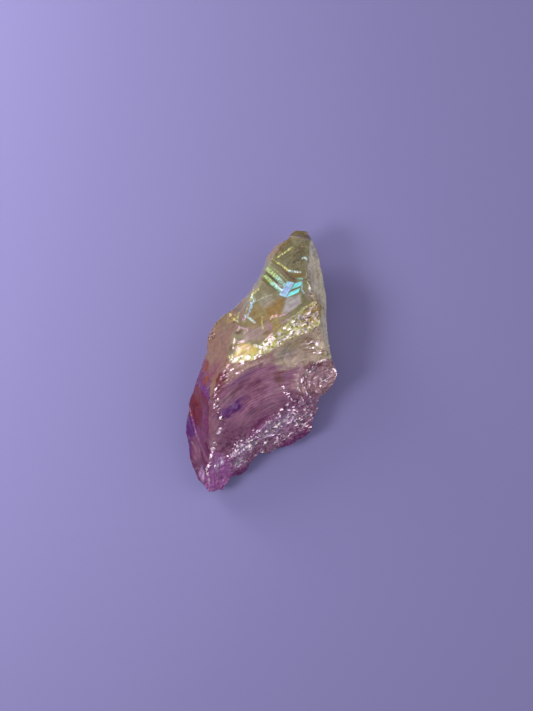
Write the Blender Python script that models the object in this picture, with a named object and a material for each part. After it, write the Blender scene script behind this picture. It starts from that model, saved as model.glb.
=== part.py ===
"""A raw piece of aura quartz: one broken crystal point lying on its flat break.

The stone is one solid. Its upper and under sides are each drawn as a map: the
outline seen from above, the ridges that cross it, and the height of each corner
over the table. Every map is meshed between its ridges, the two are joined along
the outline, and the growth steps, shell fractures and broken grain are then
raised on the surface.

Metres, +Z up, +Y towards the crystal's tip. The origin is the middle of the
stone's box, on the plane that it rests on.
"""

import math
import random

import bmesh
import bpy
import numpy as np
from mathutils import Vector, geometry, noise

# Driving dimension: the stone's length from its broken root to its tip.
STONE_LENGTH = 0.0556

# The map's own length, in the millimetres that its corners are drawn in.
MAP_LENGTH = 55.6
SCALE = STONE_LENGTH / MAP_LENGTH

# Mesh spacing on the two sides, and the longest edge left on a steep face.
TOP_SPACING = 1.05
UNDER_SPACING = 1.7
LONGEST_EDGE = 1.5
JITTER = 0.22
SEED = 7

# Corners where ridges meet each other or the outline: x, y and height.
CAP_LEFT = (-4.1, 26.5, 7.3)
CAP_RIGHT = (0.1, 26.8, 6.5)
CAP_BROW_LEFT = (-4.0, 25.6, 8.6)
CAP_BROW_RIGHT = (-0.3, 26.1, 8.8)
GOLD_LEFT = (-8.3, 1.9, 13.3)
GOLD_RIGHT = (4.8, 14.8, 12.5)
BAND_FOOT = (7.0, 10.7, 11.3)
BROW = (-6.9, -1.3, 13.5)
SHELL_HEAD = (0.0, 1.3, 13.6)
SHOULDER = (11.6, 5.1, 6.5)
LOBE = (13.3, 1.3, 6.2)
SADDLE = (-8.7, -9.6, 12.3)
SPINE_HEAD = (-7.3, -8.3, 12.6)
SPINE_FORK = (-5.7, -18.6, 9.8)
ROOT = (-3.6, -27.8, 2.8)
ROOT_NOTCH = (-0.4, -23.5, 2.8)
FLANK_HEAD = (-12.6, -1.0, 6.2)
LEFT_BULGE = (-12.9, 4.7, 6.0)
LEFT_WAIST = (-8.3, 13.1, 6.3)
TIP = (-1.3, 27.8, 7.3)
FOOT_LEFT = (-7.6, 4.9, 0.0)
FOOT_FRONT = (-2.4, 10.4, 0.0)
FOOT_RIGHT = (9.5, 4.7, 0.0)

# The widest contour, clockwise from the tip as seen from above.
OUTLINE = [
    (-3.4, 27.3, 7.3), TIP, CAP_RIGHT, (2.2, 24.6, 6.4), (4.0, 21.6, 5.2),
    (6.4, 17.3, 4.6), (7.8, 12.7, 6.4), (9.7, 8.3, 6.9), SHOULDER,
    (13.2, 2.9, 7.0), LOBE, (12.6, -1.0, 4.6), (11.4, -2.6, 5.2),
    (11.9, -5.2, 3.8), (11.8, -7.4, 4.4), (12.1, -9.7, 3.2),
    (10.9, -11.8, 2.2), (8.8, -13.9, 2.8), (6.6, -15.3, 1.8),
    (5.4, -16.9, 2.2), (3.7, -17.0, 3.6), (2.6, -19.2, 3.2),
    (2.3, -21.7, 1.9), (1.4, -22.8, 1.9), ROOT_NOTCH, (-0.6, -25.1, 3.0),
    (-1.0, -26.6, 2.2), ROOT, (-5.7, -26.5, 3.6), (-7.7, -24.8, 3.0),
    (-9.5, -21.9, 4.6), (-11.2, -18.5, 3.4), (-12.6, -15.4, 3.2),
    (-12.9, -11.2, 5.2), (-12.8, -7.2, 5.8), (-12.8, -3.7, 4.8),
    FLANK_HEAD, (-13.3, 1.7, 6.8), LEFT_BULGE, (-11.8, 7.2, 4.8),
    (-10.0, 9.3, 5.0), LEFT_WAIST, (-7.3, 17.1, 5.4),
    (-7.1, 21.0, 6.2), (-6.2, 23.7, 5.8), (-4.3, 25.4, 6.6), CAP_LEFT,
]

# The crests and creases of the upper side.
RIDGES = {
    "cap_brow": [CAP_LEFT, CAP_BROW_LEFT, (-2.2, 25.9, 9.2), CAP_BROW_RIGHT, CAP_RIGHT],
    "left_prism_edge": [
        CAP_BROW_LEFT, (-5.2, 23.2, 9.8), (-5.9, 20.2, 10.9), (-6.6, 16.7, 11.8),
        (-6.9, 13.6, 12.4), (-7.3, 10.4, 12.8), (-7.3, 7.5, 13.1), (-8.4, 4.1, 13.0),
        GOLD_LEFT,
    ],
    "right_prism_edge": [
        CAP_BROW_RIGHT, (0.5, 22.9, 10.4), (1.0, 20.0, 11.4), (2.9, 16.8, 12.1),
        GOLD_RIGHT, BAND_FOOT, (8.9, 7.6, 10.0), (10.3, 5.1, 9.0), SHOULDER,
    ],
    "gold_crest": [
        GOLD_LEFT, (-3.2, 3.5, 15.1), (-0.9, 6.1, 15.5), (0.8, 9.3, 15.0),
        (2.7, 12.7, 13.9), GOLD_RIGHT,
    ],
    "gold_foot": [
        GOLD_LEFT, BROW, (-4.2, -0.2, 14.1), (-1.8, 1.6, 14.6), (-0.2, 3.5, 14.6),
        (1.9, 6.0, 14.1), (4.2, 8.2, 13.0), BAND_FOOT,
    ],
    "smoky_shell_foot": [
        SHELL_HEAD, (0.6, 1.0, 13.2), (2.5, -0.1, 12.0), (5.6, 1.8, 11.2),
        (8.3, 4.0, 10.0), (10.3, 5.1, 9.0),
    ],
    "purple_shell_rim": [
        SHELL_HEAD, (-2.2, -0.5, 13.6), (-4.5, -2.8, 13.5), (-6.4, -6.0, 13.1),
        SPINE_HEAD, SADDLE,
    ],
    "flank_edge": [FLANK_HEAD, (-10.8, -4.6, 10.0), (-9.8, -6.8, 11.1), SADDLE],
    "brow_edge": [BROW, (-8.3, -3.6, 13.0), (-8.4, -6.7, 12.7), SADDLE],
    "spine": [
        SADDLE, (-7.7, -12.8, 11.7), (-6.9, -15.6, 11.0), SPINE_FORK,
        (-5.2, -21.4, 8.3), (-4.9, -25.2, 5.4), ROOT,
    ],
    "spine_right": [SPINE_HEAD, (-5.5, -12.9, 11.3), (-5.1, -15.8, 10.6), SPINE_FORK],
    "grain_crest": [
        LOBE, (9.4, -2.2, 8.0), (6.2, -5.4, 8.8), (4.0, -9.2, 9.2), (1.8, -13.0, 9.0),
        (0.0, -15.5, 8.4), (-1.3, -20.0, 6.9), ROOT_NOTCH,
    ],
}

# The flat break that the stone rests on, and the creases of the under side.
FOOT = [
    FOOT_LEFT, FOOT_FRONT, (2.7, 12.1, 0.0), (6.8, 9.4, 0.0), FOOT_RIGHT,
    (11.0, 1.8, 0.0), (9.6, -1.9, 0.0), (10.4, -5.8, 0.0), (9.9, -9.4, 0.0),
    (7.0, -12.9, 0.0), (4.1, -14.6, 0.0), (1.4, -18.2, 0.0), (0.5, -21.5, 0.0),
    (-2.2, -22.6, 0.0), (-2.8, -25.1, 0.0), (-4.4, -25.6, 0.0), (-6.5, -23.8, 0.0),
    (-7.9, -21.0, 0.0), (-10.2, -18.1, 0.0), (-10.9, -14.8, 0.0), (-10.0, -10.8, 0.0),
    (-10.6, -5.8, 0.0), (-9.9, -1.0, 0.0), (-10.6, 2.3, 0.0),
]
UNDER_RIDGES = {
    "keel": [FOOT_FRONT, (-1.0, 18.3, 1.8), (-1.4, 23.6, 3.4), (-1.9, 26.4, 5.2), TIP],
    "left_under_edge": [FOOT_LEFT, (-10.9, 5.4, 2.2), LEFT_BULGE],
    "waist_edge": [(-4.6, 9.4, 1.4), (-6.6, 11.6, 3.4), LEFT_WAIST],
    "right_under_edge": [FOOT_RIGHT, (11.0, 5.3, 2.6), SHOULDER],
}

# The growth steps on the tip's main face: nested chevrons that point at the root.
# Each is where its riser starts, in millimetres from the first, and its half height.
STEP_APEX = Vector((-1.6, 14.0))
STEP_LEFT_NORMAL = Vector((0.277, 0.961))
STEP_RIGHT_NORMAL = Vector((-0.681, 0.732))
STEPS = ((0.0, 0.26), (1.3, 0.24), (4.1, 0.17), (6.9, 0.10))
STEP_RISER = 0.6
STEP_FADE = 2.2

# Shell fractures: centre, half length, half width, turn in degrees, depth.
HOLLOWS = {
    "smoky_shell": ((4.8, 5.0), 5.2, 2.7, 38.0, 1.4),
    "purple_shell": ((-2.6, -6.6), 6.0, 3.6, 52.0, 1.3),
    "amber_window": ((-3.4, 9.4), 3.6, 2.6, 30.0, 0.55),
    "lower_shell": ((0.2, -11.0), 4.2, 2.6, 50.0, 0.5),
    "left_face": ((-9.6, 2.0), 5.0, 2.0, 80.0, 0.35),
    "flank": ((-10.2, -13.5), 4.5, 1.6, 96.0, 0.5),
}

# Ripples round the point that each shell was struck from: centre, nearest and
# farthest ripple, spacing, height, direction and half width of the fan in degrees.
RIPPLES = {
    "purple_shell": ((12.3, -17.9), 12.5, 23.4, 1.6, 0.15, 140.0, 26.0),
    "lobe": ((11.0, 1.0), 0.9, 5.4, 1.3, 0.16, 150.0, 75.0),
    "smoky_shell": ((9.5, -0.5), 5.0, 9.5, 1.7, 0.08, 128.0, 26.0),
}

# Grown striations on the lower left flank: centre, reach, direction, spacing, height.
STRIATION_CENTRE = Vector((-9.0, -18.5))
STRIATION_REACH = 5.5
STRIATION_ALONG = Vector((0.64, -0.77))
STRIATION_SPACING = 1.5
STRIATION_HEIGHT = 0.15

# Broken grain: centre, half length, half width, turn in degrees, lump height.
GRAINS = {
    "gold_band": ((1.3, 7.4), 9.0, 2.2, 48.0, 0.30),
    "lower_edge": ((5.8, -10.0), 13.5, 4.4, 54.0, 0.42),
    "lobe": ((9.6, 0.8), 4.5, 3.6, 20.0, 0.26),
    "root": ((-3.4, -22.6), 6.0, 4.0, 90.0, 0.30),
    "brow": ((-7.4, -3.6), 4.6, 1.6, 70.0, 0.18),
}
GRAIN_SIZE = 1.5
BREAK_GRAIN = 0.5
BREAK_GRAIN_SIZE = 2.4
BREAK_END = 8.0
BREAK_FADE = 12.0
FACE_GRAIN = 0.06
FACE_GRAIN_SIZE = 2.5
LOWEST_SIDE = 0.12
FLOOR_HEIGHT = 0.02

QUARTZ_COLOUR = (0.55, 0.36, 0.44, 1.0)
QUARTZ_ROUGHNESS = 0.18
QUARTZ_IOR = 1.544


def clear_scene():
    """Removes every object that the file opened with."""
    for item in list(bpy.data.objects):
        bpy.data.objects.remove(item)


def spaced_line(corners, spacing, closed=False):
    """A polyline through the corners, with no two points farther apart than spacing."""
    ends = corners[1:] + corners[:1] if closed else corners[1:]
    points = []
    for start, end in zip(corners, ends):
        a, b = Vector(start), Vector(end)
        pieces = max(1, math.ceil((b - a).length / spacing))
        points += [tuple(a.lerp(b, i / pieces)) for i in range(pieces)]
    if not closed:
        points.append(tuple(corners[-1]))
    return points


def inside(point, contour):
    """True if the point lies within the closed contour, seen from above."""
    x, y = point
    crossings = 0
    for (ax, ay, _), (bx, by, _) in zip(contour, contour[1:] + contour[:1]):
        if (ay > y) != (by > y) and x < ax + (y - ay) / (by - ay) * (bx - ax):
            crossings += 1
    return crossings % 2 == 1


def filler_points(contour, lines, spacing, rng):
    """Staggered, slightly uneven points inside the contour, clear of every line."""
    drawn = np.array([p[:2] for line in lines for p in line])
    low, high = drawn.min(0), drawn.max(0)
    row_step = spacing * math.sqrt(3) / 2
    found = []
    for row in range(int((high[1] - low[1]) / row_step) + 1):
        for column in range(int((high[0] - low[0]) / spacing) + 1):
            x = low[0] + (column + row % 2 / 2 + rng.uniform(-JITTER, JITTER)) * spacing
            y = low[1] + row * row_step + rng.uniform(-JITTER, JITTER) * spacing
            nearest = np.hypot(drawn[:, 0] - x, drawn[:, 1] - y).min()
            if nearest > spacing * 0.55 and inside((x, y), contour):
                found.append((x, y))
    return found


def stretched_heights(count, triangles, known):
    """Heights of a membrane stretched between the points whose heights are known."""
    pairs = {tuple(sorted((t[i], t[i - 1]))) for t in triangles for i in range(3)}
    first, second = np.array(sorted(pairs)).T
    degree = np.bincount(first, minlength=count) + np.bincount(second, minlength=count)
    fixed = np.array(list(known))
    held = np.array(list(known.values()))
    heights = np.full(count, held.mean())
    heights[fixed] = held
    for _ in range(900):
        total = np.bincount(first, heights[second], count)
        total += np.bincount(second, heights[first], count)
        heights = total / np.maximum(degree, 1)
        heights[fixed] = held
    return heights


def side_of_stone(contour, lines, closed_lines, spacing, rng):
    """Meshes one side between its ridges.

    Returns its points and its triangles, which turn anticlockwise from above.
    """
    points = list(contour)
    edges = [(i, (i + 1) % len(contour)) for i in range(len(contour))]
    for line in lines + closed_lines:
        start = len(points)
        points += line
        edges += [(start + i, start + i + 1) for i in range(len(line) - 1)]
        if line in closed_lines:
            edges.append((start + len(line) - 1, start))
    drawn = len(points)
    filler = filler_points(contour, [contour, *lines, *closed_lines], spacing, rng)
    flat = [Vector(p[:2]) for p in points] + [Vector(p) for p in filler]
    made = geometry.delaunay_2d_cdt(flat, edges, [range(len(contour))], 1, 1e-5)
    places, sources = made[0], made[3]
    triangles = [tuple(triangle) for triangle in made[2]]
    known = {
        i: points[min(source)][2]
        for i, source in enumerate(sources)
        if source and min(source) < drawn
    }
    heights = stretched_heights(len(places), triangles, known)
    return [(p.x, p.y, h) for p, h in zip(places, heights)], triangles


def joined_sides(top, under):
    """One closed mesh from the upper side and the under side, sewn at the outline."""
    mesh = bmesh.new()
    for (points, triangles), turned in ((top, False), (under, True)):
        made = [mesh.verts.new(point) for point in points]
        for triangle in triangles:
            corners = [made[i] for i in triangle]
            mesh.faces.new(reversed(corners) if turned else corners)
    bmesh.ops.remove_doubles(mesh, verts=mesh.verts, dist=0.01)
    loose = [vert for vert in mesh.verts if not vert.link_faces]
    bmesh.ops.delete(mesh, geom=loose, context="VERTS")
    bmesh.ops.recalc_face_normals(mesh, faces=mesh.faces)
    return mesh


def triangulate(mesh):
    """Splits every face that has more than three corners."""
    wide = [face for face in mesh.faces if len(face.verts) > 3]
    bmesh.ops.triangulate(mesh, faces=wide)


def split_long_edges(mesh, longest):
    """Halves edges until none is longer than the given length."""
    while True:
        long_edges = [edge for edge in mesh.edges if edge.calc_length() > longest]
        if not long_edges:
            return
        bmesh.ops.subdivide_edges(mesh, edges=long_edges, cuts=1)
        triangulate(mesh)


def ellipse_weight(x, y, centre, half_length, half_width, turn):
    """1 at the ellipse's middle, falling smoothly to 0 at its rim."""
    angle = math.radians(turn)
    dx, dy = x - centre[0], y - centre[1]
    along = (dx * math.cos(angle) + dy * math.sin(angle)) / half_length
    across = (dy * math.cos(angle) - dx * math.sin(angle)) / half_width
    return max(0.0, 1.0 - along * along - across * across)


def step_fields(point):
    """Distances towards the tip from the two arms of the first chevron."""
    away = Vector((point[0], point[1])) - STEP_APEX
    return away.dot(STEP_LEFT_NORMAL), away.dot(STEP_RIGHT_NORMAL)


def step_profile():
    """Knots of the steps: each terrace climbs slowly and ends in a steep riser."""
    places, heights = [-STEP_FADE], [0.0]
    for start, half_height in STEPS:
        places += [start, start + STEP_RISER]
        heights += [half_height, -half_height]
    return [*places, places[-1] + STEP_FADE], [*heights, 0.0]


def main_face_contour():
    """The tip's main face, from its cap to the gold crest."""
    left = RIDGES["left_prism_edge"]
    right = RIDGES["right_prism_edge"][:5]
    brow = RIDGES["cap_brow"][1:4]
    return brow + right[1:] + RIDGES["gold_crest"][-2::-1] + left[-2:0:-1]


def cut_step_lines(mesh, face_contour, knots):
    """Cuts the main face along both ends of every riser, so that each step is crisp."""
    for normal, other in ((STEP_LEFT_NORMAL, 1), (STEP_RIGHT_NORMAL, 0)):
        for knot in knots[1:-1]:
            chosen = []
            for face in mesh.faces:
                middle = face.calc_center_median()
                fields = step_fields(middle)
                own, across = fields[1 - other], fields[other]
                near = abs(own - knot) < LONGEST_EDGE and across > own - LONGEST_EDGE
                if near and face.normal.z > 0.3 and inside(middle.xy, face_contour):
                    chosen.append(face)
            edges = {edge for face in chosen for edge in face.edges}
            verts = {vert for face in chosen for vert in face.verts}
            place = STEP_APEX + normal * knot
            bmesh.ops.bisect_plane(
                mesh,
                geom=[*verts, *edges, *chosen],
                dist=0.04,
                plane_co=(place.x, place.y, 0.0),
                plane_no=(normal.x, normal.y, 0.0),
            )
            triangulate(mesh)


def raise_steps(mesh, face_contour):
    """Moves the main face up and down into its terraces and risers."""
    places, heights = step_profile()
    cut_step_lines(mesh, face_contour, places)
    for vert in mesh.verts:
        if vert.normal.z > 0.2 and inside(vert.co.xy, face_contour):
            vert.co.z += float(np.interp(min(step_fields(vert.co)), places, heights))


def fan_ripple(x, y, centre, near, far, spacing, height, heading, half_fan):
    """Height of the ripples that spread from a struck point, at x and y."""
    dx, dy = x - centre[0], y - centre[1]
    radius = math.hypot(dx, dy)
    turn = math.degrees(math.atan2(dy, dx)) - heading
    turn = abs((turn + 180.0) % 360.0 - 180.0)
    if not near < radius < far or turn > half_fan:
        return 0.0
    fade = min(1.0, (radius - near) / spacing, (far - radius) / spacing)
    fade *= min(1.0, (half_fan - turn) / (0.3 * half_fan))
    wander = 0.5 * noise.noise(Vector((x, y, 4.0)) * 0.35)
    phase = (radius / spacing + wander) % 1.0
    return height * fade * (2.0 * abs(2.0 * phase - 1.0) - 1.0)


def striation(x, y):
    """Height of the parallel growth lines on the lower left flank."""
    away = Vector((x, y)) - STRIATION_CENTRE
    fade = max(0.0, 1.0 - away.length / STRIATION_REACH)
    across = away.x * STRIATION_ALONG.y - away.y * STRIATION_ALONG.x
    phase = (across / STRIATION_SPACING) % 1.0
    return STRIATION_HEIGHT * min(1.0, 2.0 * fade) * (2.0 * abs(2.0 * phase - 1.0) - 1.0)


def grain(place, size):
    """Uneven broken lumps from -1 to 1: soft noise, and chips with flat tops."""
    soft = noise.noise(place / size)
    near, far = noise.voronoi(place / (1.3 * size))[0][:2]
    return 0.6 * soft + 0.8 * (far - near) - 0.35


def upper_relief(place):
    """How far the upper side rises from the stretched one, along its normal."""
    x, y = place.xy
    lift = FACE_GRAIN * noise.noise(place / FACE_GRAIN_SIZE)
    for centre, half_length, half_width, turn, depth in HOLLOWS.values():
        weight = ellipse_weight(x, y, centre, half_length, half_width, turn)
        lift -= depth * weight * weight
    lift += sum(fan_ripple(x, y, *values) for values in RIPPLES.values())
    lift += striation(x, y)
    for centre, half_length, half_width, turn, height in GRAINS.values():
        weight = ellipse_weight(x, y, centre, half_length, half_width, turn)
        lift += height * min(1.0, 2.5 * weight) * grain(place, GRAIN_SIZE)
    return lift


def under_relief(place):
    """How far the under side rises: broken lumps that fade out towards the tip."""
    rough = min(1.0, max(0.0, (BREAK_END - place.y) / BREAK_FADE))
    return BREAK_GRAIN * (0.3 + 0.7 * rough) * grain(place, BREAK_GRAIN_SIZE)


def raise_relief(mesh):
    """Applies the relief to all but the flat break that the stone rests on."""
    mesh.normal_update()
    moves = []
    for vert in mesh.verts:
        if vert.co.z > FLOOR_HEIGHT:
            is_upper = vert.normal.z > 0.05
            lift = upper_relief(vert.co) if is_upper else under_relief(vert.co)
            moves.append((vert, vert.normal * lift))
    for vert, move in moves:
        vert.co += move
        vert.co.z = max(vert.co.z, LOWEST_SIDE)


def centre_on_base(mesh):
    """Puts the origin in the middle of the stone's box, at its lowest point."""
    places = np.array([vert.co for vert in mesh.verts])
    low, high = places.min(0), places.max(0)
    middle = Vector(((low[0] + high[0]) / 2, (low[1] + high[1]) / 2, low[2]))
    bmesh.ops.translate(mesh, verts=mesh.verts, vec=-middle)


def quartz_material():
    """Clear quartz with its vapour coat, as one plain stand-in finish."""
    material = bpy.data.materials.new("aura_quartz")
    material.use_nodes = True
    shader = material.node_tree.nodes["Principled BSDF"]
    shader.inputs["Base Color"].default_value = QUARTZ_COLOUR
    shader.inputs["Roughness"].default_value = QUARTZ_ROUGHNESS
    shader.inputs["IOR"].default_value = QUARTZ_IOR
    shader.inputs["Metallic"].default_value = 0.0
    return material


def crystal_mesh():
    """The whole stone as a bmesh, still in the map's millimetres."""
    rng = random.Random(SEED)
    contour = spaced_line(OUTLINE, TOP_SPACING, closed=True)
    crests = [spaced_line(line, TOP_SPACING) for line in RIDGES.values()]
    top = side_of_stone(contour, crests, [], TOP_SPACING, rng)
    foot = spaced_line(FOOT, UNDER_SPACING, closed=True)
    creases = [spaced_line(line, UNDER_SPACING) for line in UNDER_RIDGES.values()]
    under = side_of_stone(contour, creases, [foot], UNDER_SPACING, rng)
    mesh = joined_sides(top, under)
    split_long_edges(mesh, LONGEST_EDGE)
    raise_steps(mesh, main_face_contour())
    raise_relief(mesh)
    triangulate(mesh)
    centre_on_base(mesh)
    return mesh


def main():
    """Builds the crystal as one named object at its real size."""
    clear_scene()
    mesh = crystal_mesh()
    bmesh.ops.scale(mesh, vec=(SCALE, SCALE, SCALE), verts=mesh.verts)
    bmesh.ops.recalc_face_normals(mesh, faces=mesh.faces)
    data = bpy.data.meshes.new("crystal")
    mesh.to_mesh(data)
    mesh.free()
    data.shade_flat()
    data.materials.append(quartz_material())
    crystal = bpy.data.objects.new("crystal", data)
    bpy.context.scene.collection.objects.link(crystal)


main()
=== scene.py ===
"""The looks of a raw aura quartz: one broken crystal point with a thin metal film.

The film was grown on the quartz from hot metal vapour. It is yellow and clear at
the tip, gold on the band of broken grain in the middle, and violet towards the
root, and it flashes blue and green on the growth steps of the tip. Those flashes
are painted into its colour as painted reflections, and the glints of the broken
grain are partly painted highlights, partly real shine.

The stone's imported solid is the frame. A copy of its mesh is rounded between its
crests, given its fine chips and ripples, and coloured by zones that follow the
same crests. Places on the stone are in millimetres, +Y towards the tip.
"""

import logging
import math
from collections.abc import Callable, Sequence
from dataclasses import dataclass, field
from enum import Enum
from functools import partial

import bpy
import numpy as np
from mathutils import Matrix, Vector, noise


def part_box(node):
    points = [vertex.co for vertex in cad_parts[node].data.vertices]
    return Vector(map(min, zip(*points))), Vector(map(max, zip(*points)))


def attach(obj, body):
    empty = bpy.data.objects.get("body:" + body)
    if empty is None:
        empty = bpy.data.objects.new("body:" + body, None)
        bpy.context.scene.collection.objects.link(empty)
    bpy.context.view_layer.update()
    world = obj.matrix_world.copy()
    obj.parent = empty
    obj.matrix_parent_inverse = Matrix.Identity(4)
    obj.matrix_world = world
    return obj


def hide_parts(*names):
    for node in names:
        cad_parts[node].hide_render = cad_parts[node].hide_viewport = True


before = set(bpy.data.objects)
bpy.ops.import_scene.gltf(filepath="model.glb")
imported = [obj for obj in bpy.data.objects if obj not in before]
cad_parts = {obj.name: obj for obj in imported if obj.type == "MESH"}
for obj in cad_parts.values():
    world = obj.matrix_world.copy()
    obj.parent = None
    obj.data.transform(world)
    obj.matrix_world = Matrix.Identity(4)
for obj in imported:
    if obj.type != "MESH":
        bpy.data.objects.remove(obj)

LOG = logging.getLogger("aura_quartz")
MM = 0.001

# What a place on the stone's surface has besides its colour.
FINISHES = ("streaks", "chips", "glints", "clarity")

Point = tuple[float, float]


def linear(hex_colour: str) -> tuple[float, float, float]:
    """Turns an sRGB hex colour into linear light.

    Args:
        hex_colour: The colour as "#RRGGBB".

    Returns:
        Red, green and blue from 0 to 1.
    """
    parts = [int(hex_colour[i : i + 2], 16) / 255 for i in (1, 3, 5)]
    return tuple(p / 12.92 if p <= 0.04045 else ((p + 0.055) / 1.055) ** 2.4 for p in parts)


class Tint(Enum):
    """Colours of the quartz and of the film that covers it, as sRGB hex. The cyans,
    ice, mint, greens, lemon, periwinkle and orchid are painted reflections of the film
    on the growth steps and cracks, and the near-white ivory is a painted highlight.
    """

    CAP_OLIVE = "#94885A"
    TIP_OLIVE = "#9B976A"
    DARK_OLIVE = "#4A4332"
    PINK_BUFF = "#C0A79A"
    RIM_BUFF = "#A98478"
    SMOKY_OLIVE = "#A29F6D"
    STRAW = "#A78A49"
    PEARL_GREY = "#CAC5AE"
    PEARL_TAN = "#F7F0C9"
    HONEY = "#C0A154"
    AMBER = "#856816"
    LILAC_GREY = "#B8B0B6"
    WARM_TAN = "#856F49"
    ROSE_TAN = "#866753"
    DUSTY_ROSE = "#77424F"
    GOLD = "#BD9E29"
    HOT_GOLD = "#D8C271"
    PALE_GOLD = "#DDDB86"
    IVORY = "#FBF3DC"
    SMOKY_TAN = "#CCB695"
    SLATE = "#B6B1AC"
    AMETHYST_ROSE = "#915B76"
    WINE = "#5F254D"
    AMETHYST = "#56166A"
    MAUVE = "#AA7891"
    PALE_ROSE = "#B98E94"
    PINK_TAN = "#9E7A88"
    SPINE_ROSE = "#956777"
    GRAPE = "#935F85"
    RUST = "#672410"
    RUST_ORANGE = "#7C361B"
    BROWN = "#6B3A2D"
    MILKY_LILAC = "#BC95C3"
    MAGENTA = "#600357"
    ROOT_VIOLET = "#A459A0"
    MAROON = "#570211"
    DEEP_VIOLET = "#460157"
    PLUM = "#5E2448"
    CYAN = "#8DFDFD"
    ICE = "#DEFDFD"
    MINT = "#B8F6DF"
    ORCHID = "#C6A4F2"
    SPRING_GREEN = "#CDF59C"
    LEMON = "#FDFB9C"
    PERIWINKLE = "#ACDCFD"
    PINK = "#DBA3CC"


def add_node(
    tree: bpy.types.NodeTree, kind: str, links: dict | None = None, **settings: object
) -> bpy.types.Node:
    """Adds one node with its settings and links.

    Args:
        tree: The node tree that gets the node.
        kind: The node's type name.
        links: For each input, by name or number, its value or the output that feeds it.
        settings: The node's own properties.

    Returns:
        The new node.
    """
    node = tree.nodes.new(kind)
    for name, value in settings.items():
        setattr(node, name, value)
    for name, value in (links or {}).items():
        if isinstance(value, bpy.types.NodeSocket):
            tree.links.new(value, node.inputs[name])
        else:
            node.inputs[name].default_value = value
    return node


def smooth(low: float, high: float, values: np.ndarray) -> np.ndarray:
    """Rises smoothly from 0 at low to 1 at high.

    Args:
        low: Where the rise starts.
        high: Where it ends.
        values: What is looked up.

    Returns:
        One share from 0 to 1 for each value.
    """
    share = np.clip((values - low) / (high - low), 0.0, 1.0)
    return share * share * (3.0 - 2.0 * share)


@dataclass(frozen=True)
class Grain:
    """Soft noise, about -1 to 1 times its strength.

    size is the width of its lumps in millimetres, seed moves the pattern, so that two
    patterns differ, and squeeze narrows the lumps along each axis, or below 1 draws
    them out.
    """

    size: float
    seed: float
    squeeze: tuple[float, float, float] = (1.0, 1.0, 1.0)
    strength: float = 1.0

    def at(self, places: np.ndarray) -> np.ndarray:
        """Reads the noise.

        Args:
            places: The points in millimetres, one a row.

        Returns:
            One value for each point.
        """
        moved = places * self.squeeze / self.size + self.seed
        values = np.fromiter((noise.noise(Vector(p)) for p in moved), float, len(moved))
        return self.strength * values


def turned(places: np.ndarray, centre: Point, turn: float) -> tuple[np.ndarray, np.ndarray]:
    """Distances from a centre along a direction and across it.

    Args:
        places: The points, one a row, of which x and y are read.
        centre: The point to measure from.
        turn: The direction, in degrees anticlockwise from +X.

    Returns:
        The distances along the direction, and those across it.
    """
    angle = math.radians(turn)
    dx, dy = places[:, 0] - centre[0], places[:, 1] - centre[1]
    along = dx * math.cos(angle) + dy * math.sin(angle)
    return along, dy * math.cos(angle) - dx * math.sin(angle)


def segment_distance(places: np.ndarray, start: Point, end: Point) -> np.ndarray:
    """How far each point is from a straight stretch, seen from above.

    Args:
        places: The points, one a row, of which x and y are read.
        start: One end of the stretch.
        end: Its other end.

    Returns:
        One distance for each point.
    """
    a, b = np.array(start), np.array(end)
    offset, stretch = places[:, :2] - a, b - a
    share = np.clip(offset @ stretch / max(stretch @ stretch, 1e-9), 0.0, 1.0)
    return np.linalg.norm(offset - share[:, None] * stretch, axis=1)


@dataclass(frozen=True)
class Zone:
    """A face or fracture between crests, as seen from above.

    tint is its colour, softness the width of its edge, streaks the strength of its
    flow lines, chips how broken it is, glints the share of its small facets that
    flash and clarity how clear the quartz is. A flashing facet's pale colour is a
    painted highlight.
    """

    outline: tuple[Point, ...]
    tint: Tint
    softness: float = 0.35
    strength: float = 1.0
    streaks: float = 0.1
    chips: float = 0.0
    glints: float = 0.0
    clarity: float = 0.3

    def weight(self, places: np.ndarray) -> np.ndarray:
        """1 inside the zone and 0 outside, with a soft edge.

        Args:
            places: The points in millimetres, one a row.

        Returns:
            One weight for each point.
        """
        x, y = places[:, 0], places[:, 1]
        inside = np.zeros(len(places), bool)
        nearest = np.full(len(places), np.inf)
        for (ax, ay), (bx, by) in zip(self.outline, self.outline[1:] + self.outline[:1]):
            nearest = np.minimum(nearest, segment_distance(places, (ax, ay), (bx, by)))
            if ay != by:
                crosses = (ay > y) != (by > y)
                inside ^= crosses & (x < ax + (y - ay) / (by - ay) * (bx - ax))
        signed = np.where(inside, nearest, -nearest)
        return smooth(-self.softness / 2, self.softness / 2, signed)


@dataclass(frozen=True)
class Facet(Zone):
    """A small flat face whose film mirrors one colour, painted into its tint as a painted
    reflection.

    gaps is how much of that colour the roughness of the face takes away.
    """

    gaps: float = 0.0


@dataclass(frozen=True)
class Blot:
    """A soft oval patch of colour: its middle, half sizes, turn in degrees and tint.

    hardness is the share of it that is flat, and glints the share of its small
    facets that flash, whose pale colour is a painted highlight.
    """

    centre: Point
    half_length: float
    half_width: float
    turn: float
    tint: Tint
    strength: float = 0.8
    hardness: float = 0.3
    glints: float = 0.0

    def weight(self, places: np.ndarray) -> np.ndarray:
        """1 at the middle, falling to 0 at the rim.

        Args:
            places: The points in millimetres, one a row.

        Returns:
            One weight for each point.
        """
        along, across = turned(places, self.centre, self.turn)
        radius = np.hypot(along / self.half_length, across / self.half_width)
        return 1.0 - smooth(self.hardness, 1.0, radius)


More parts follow.
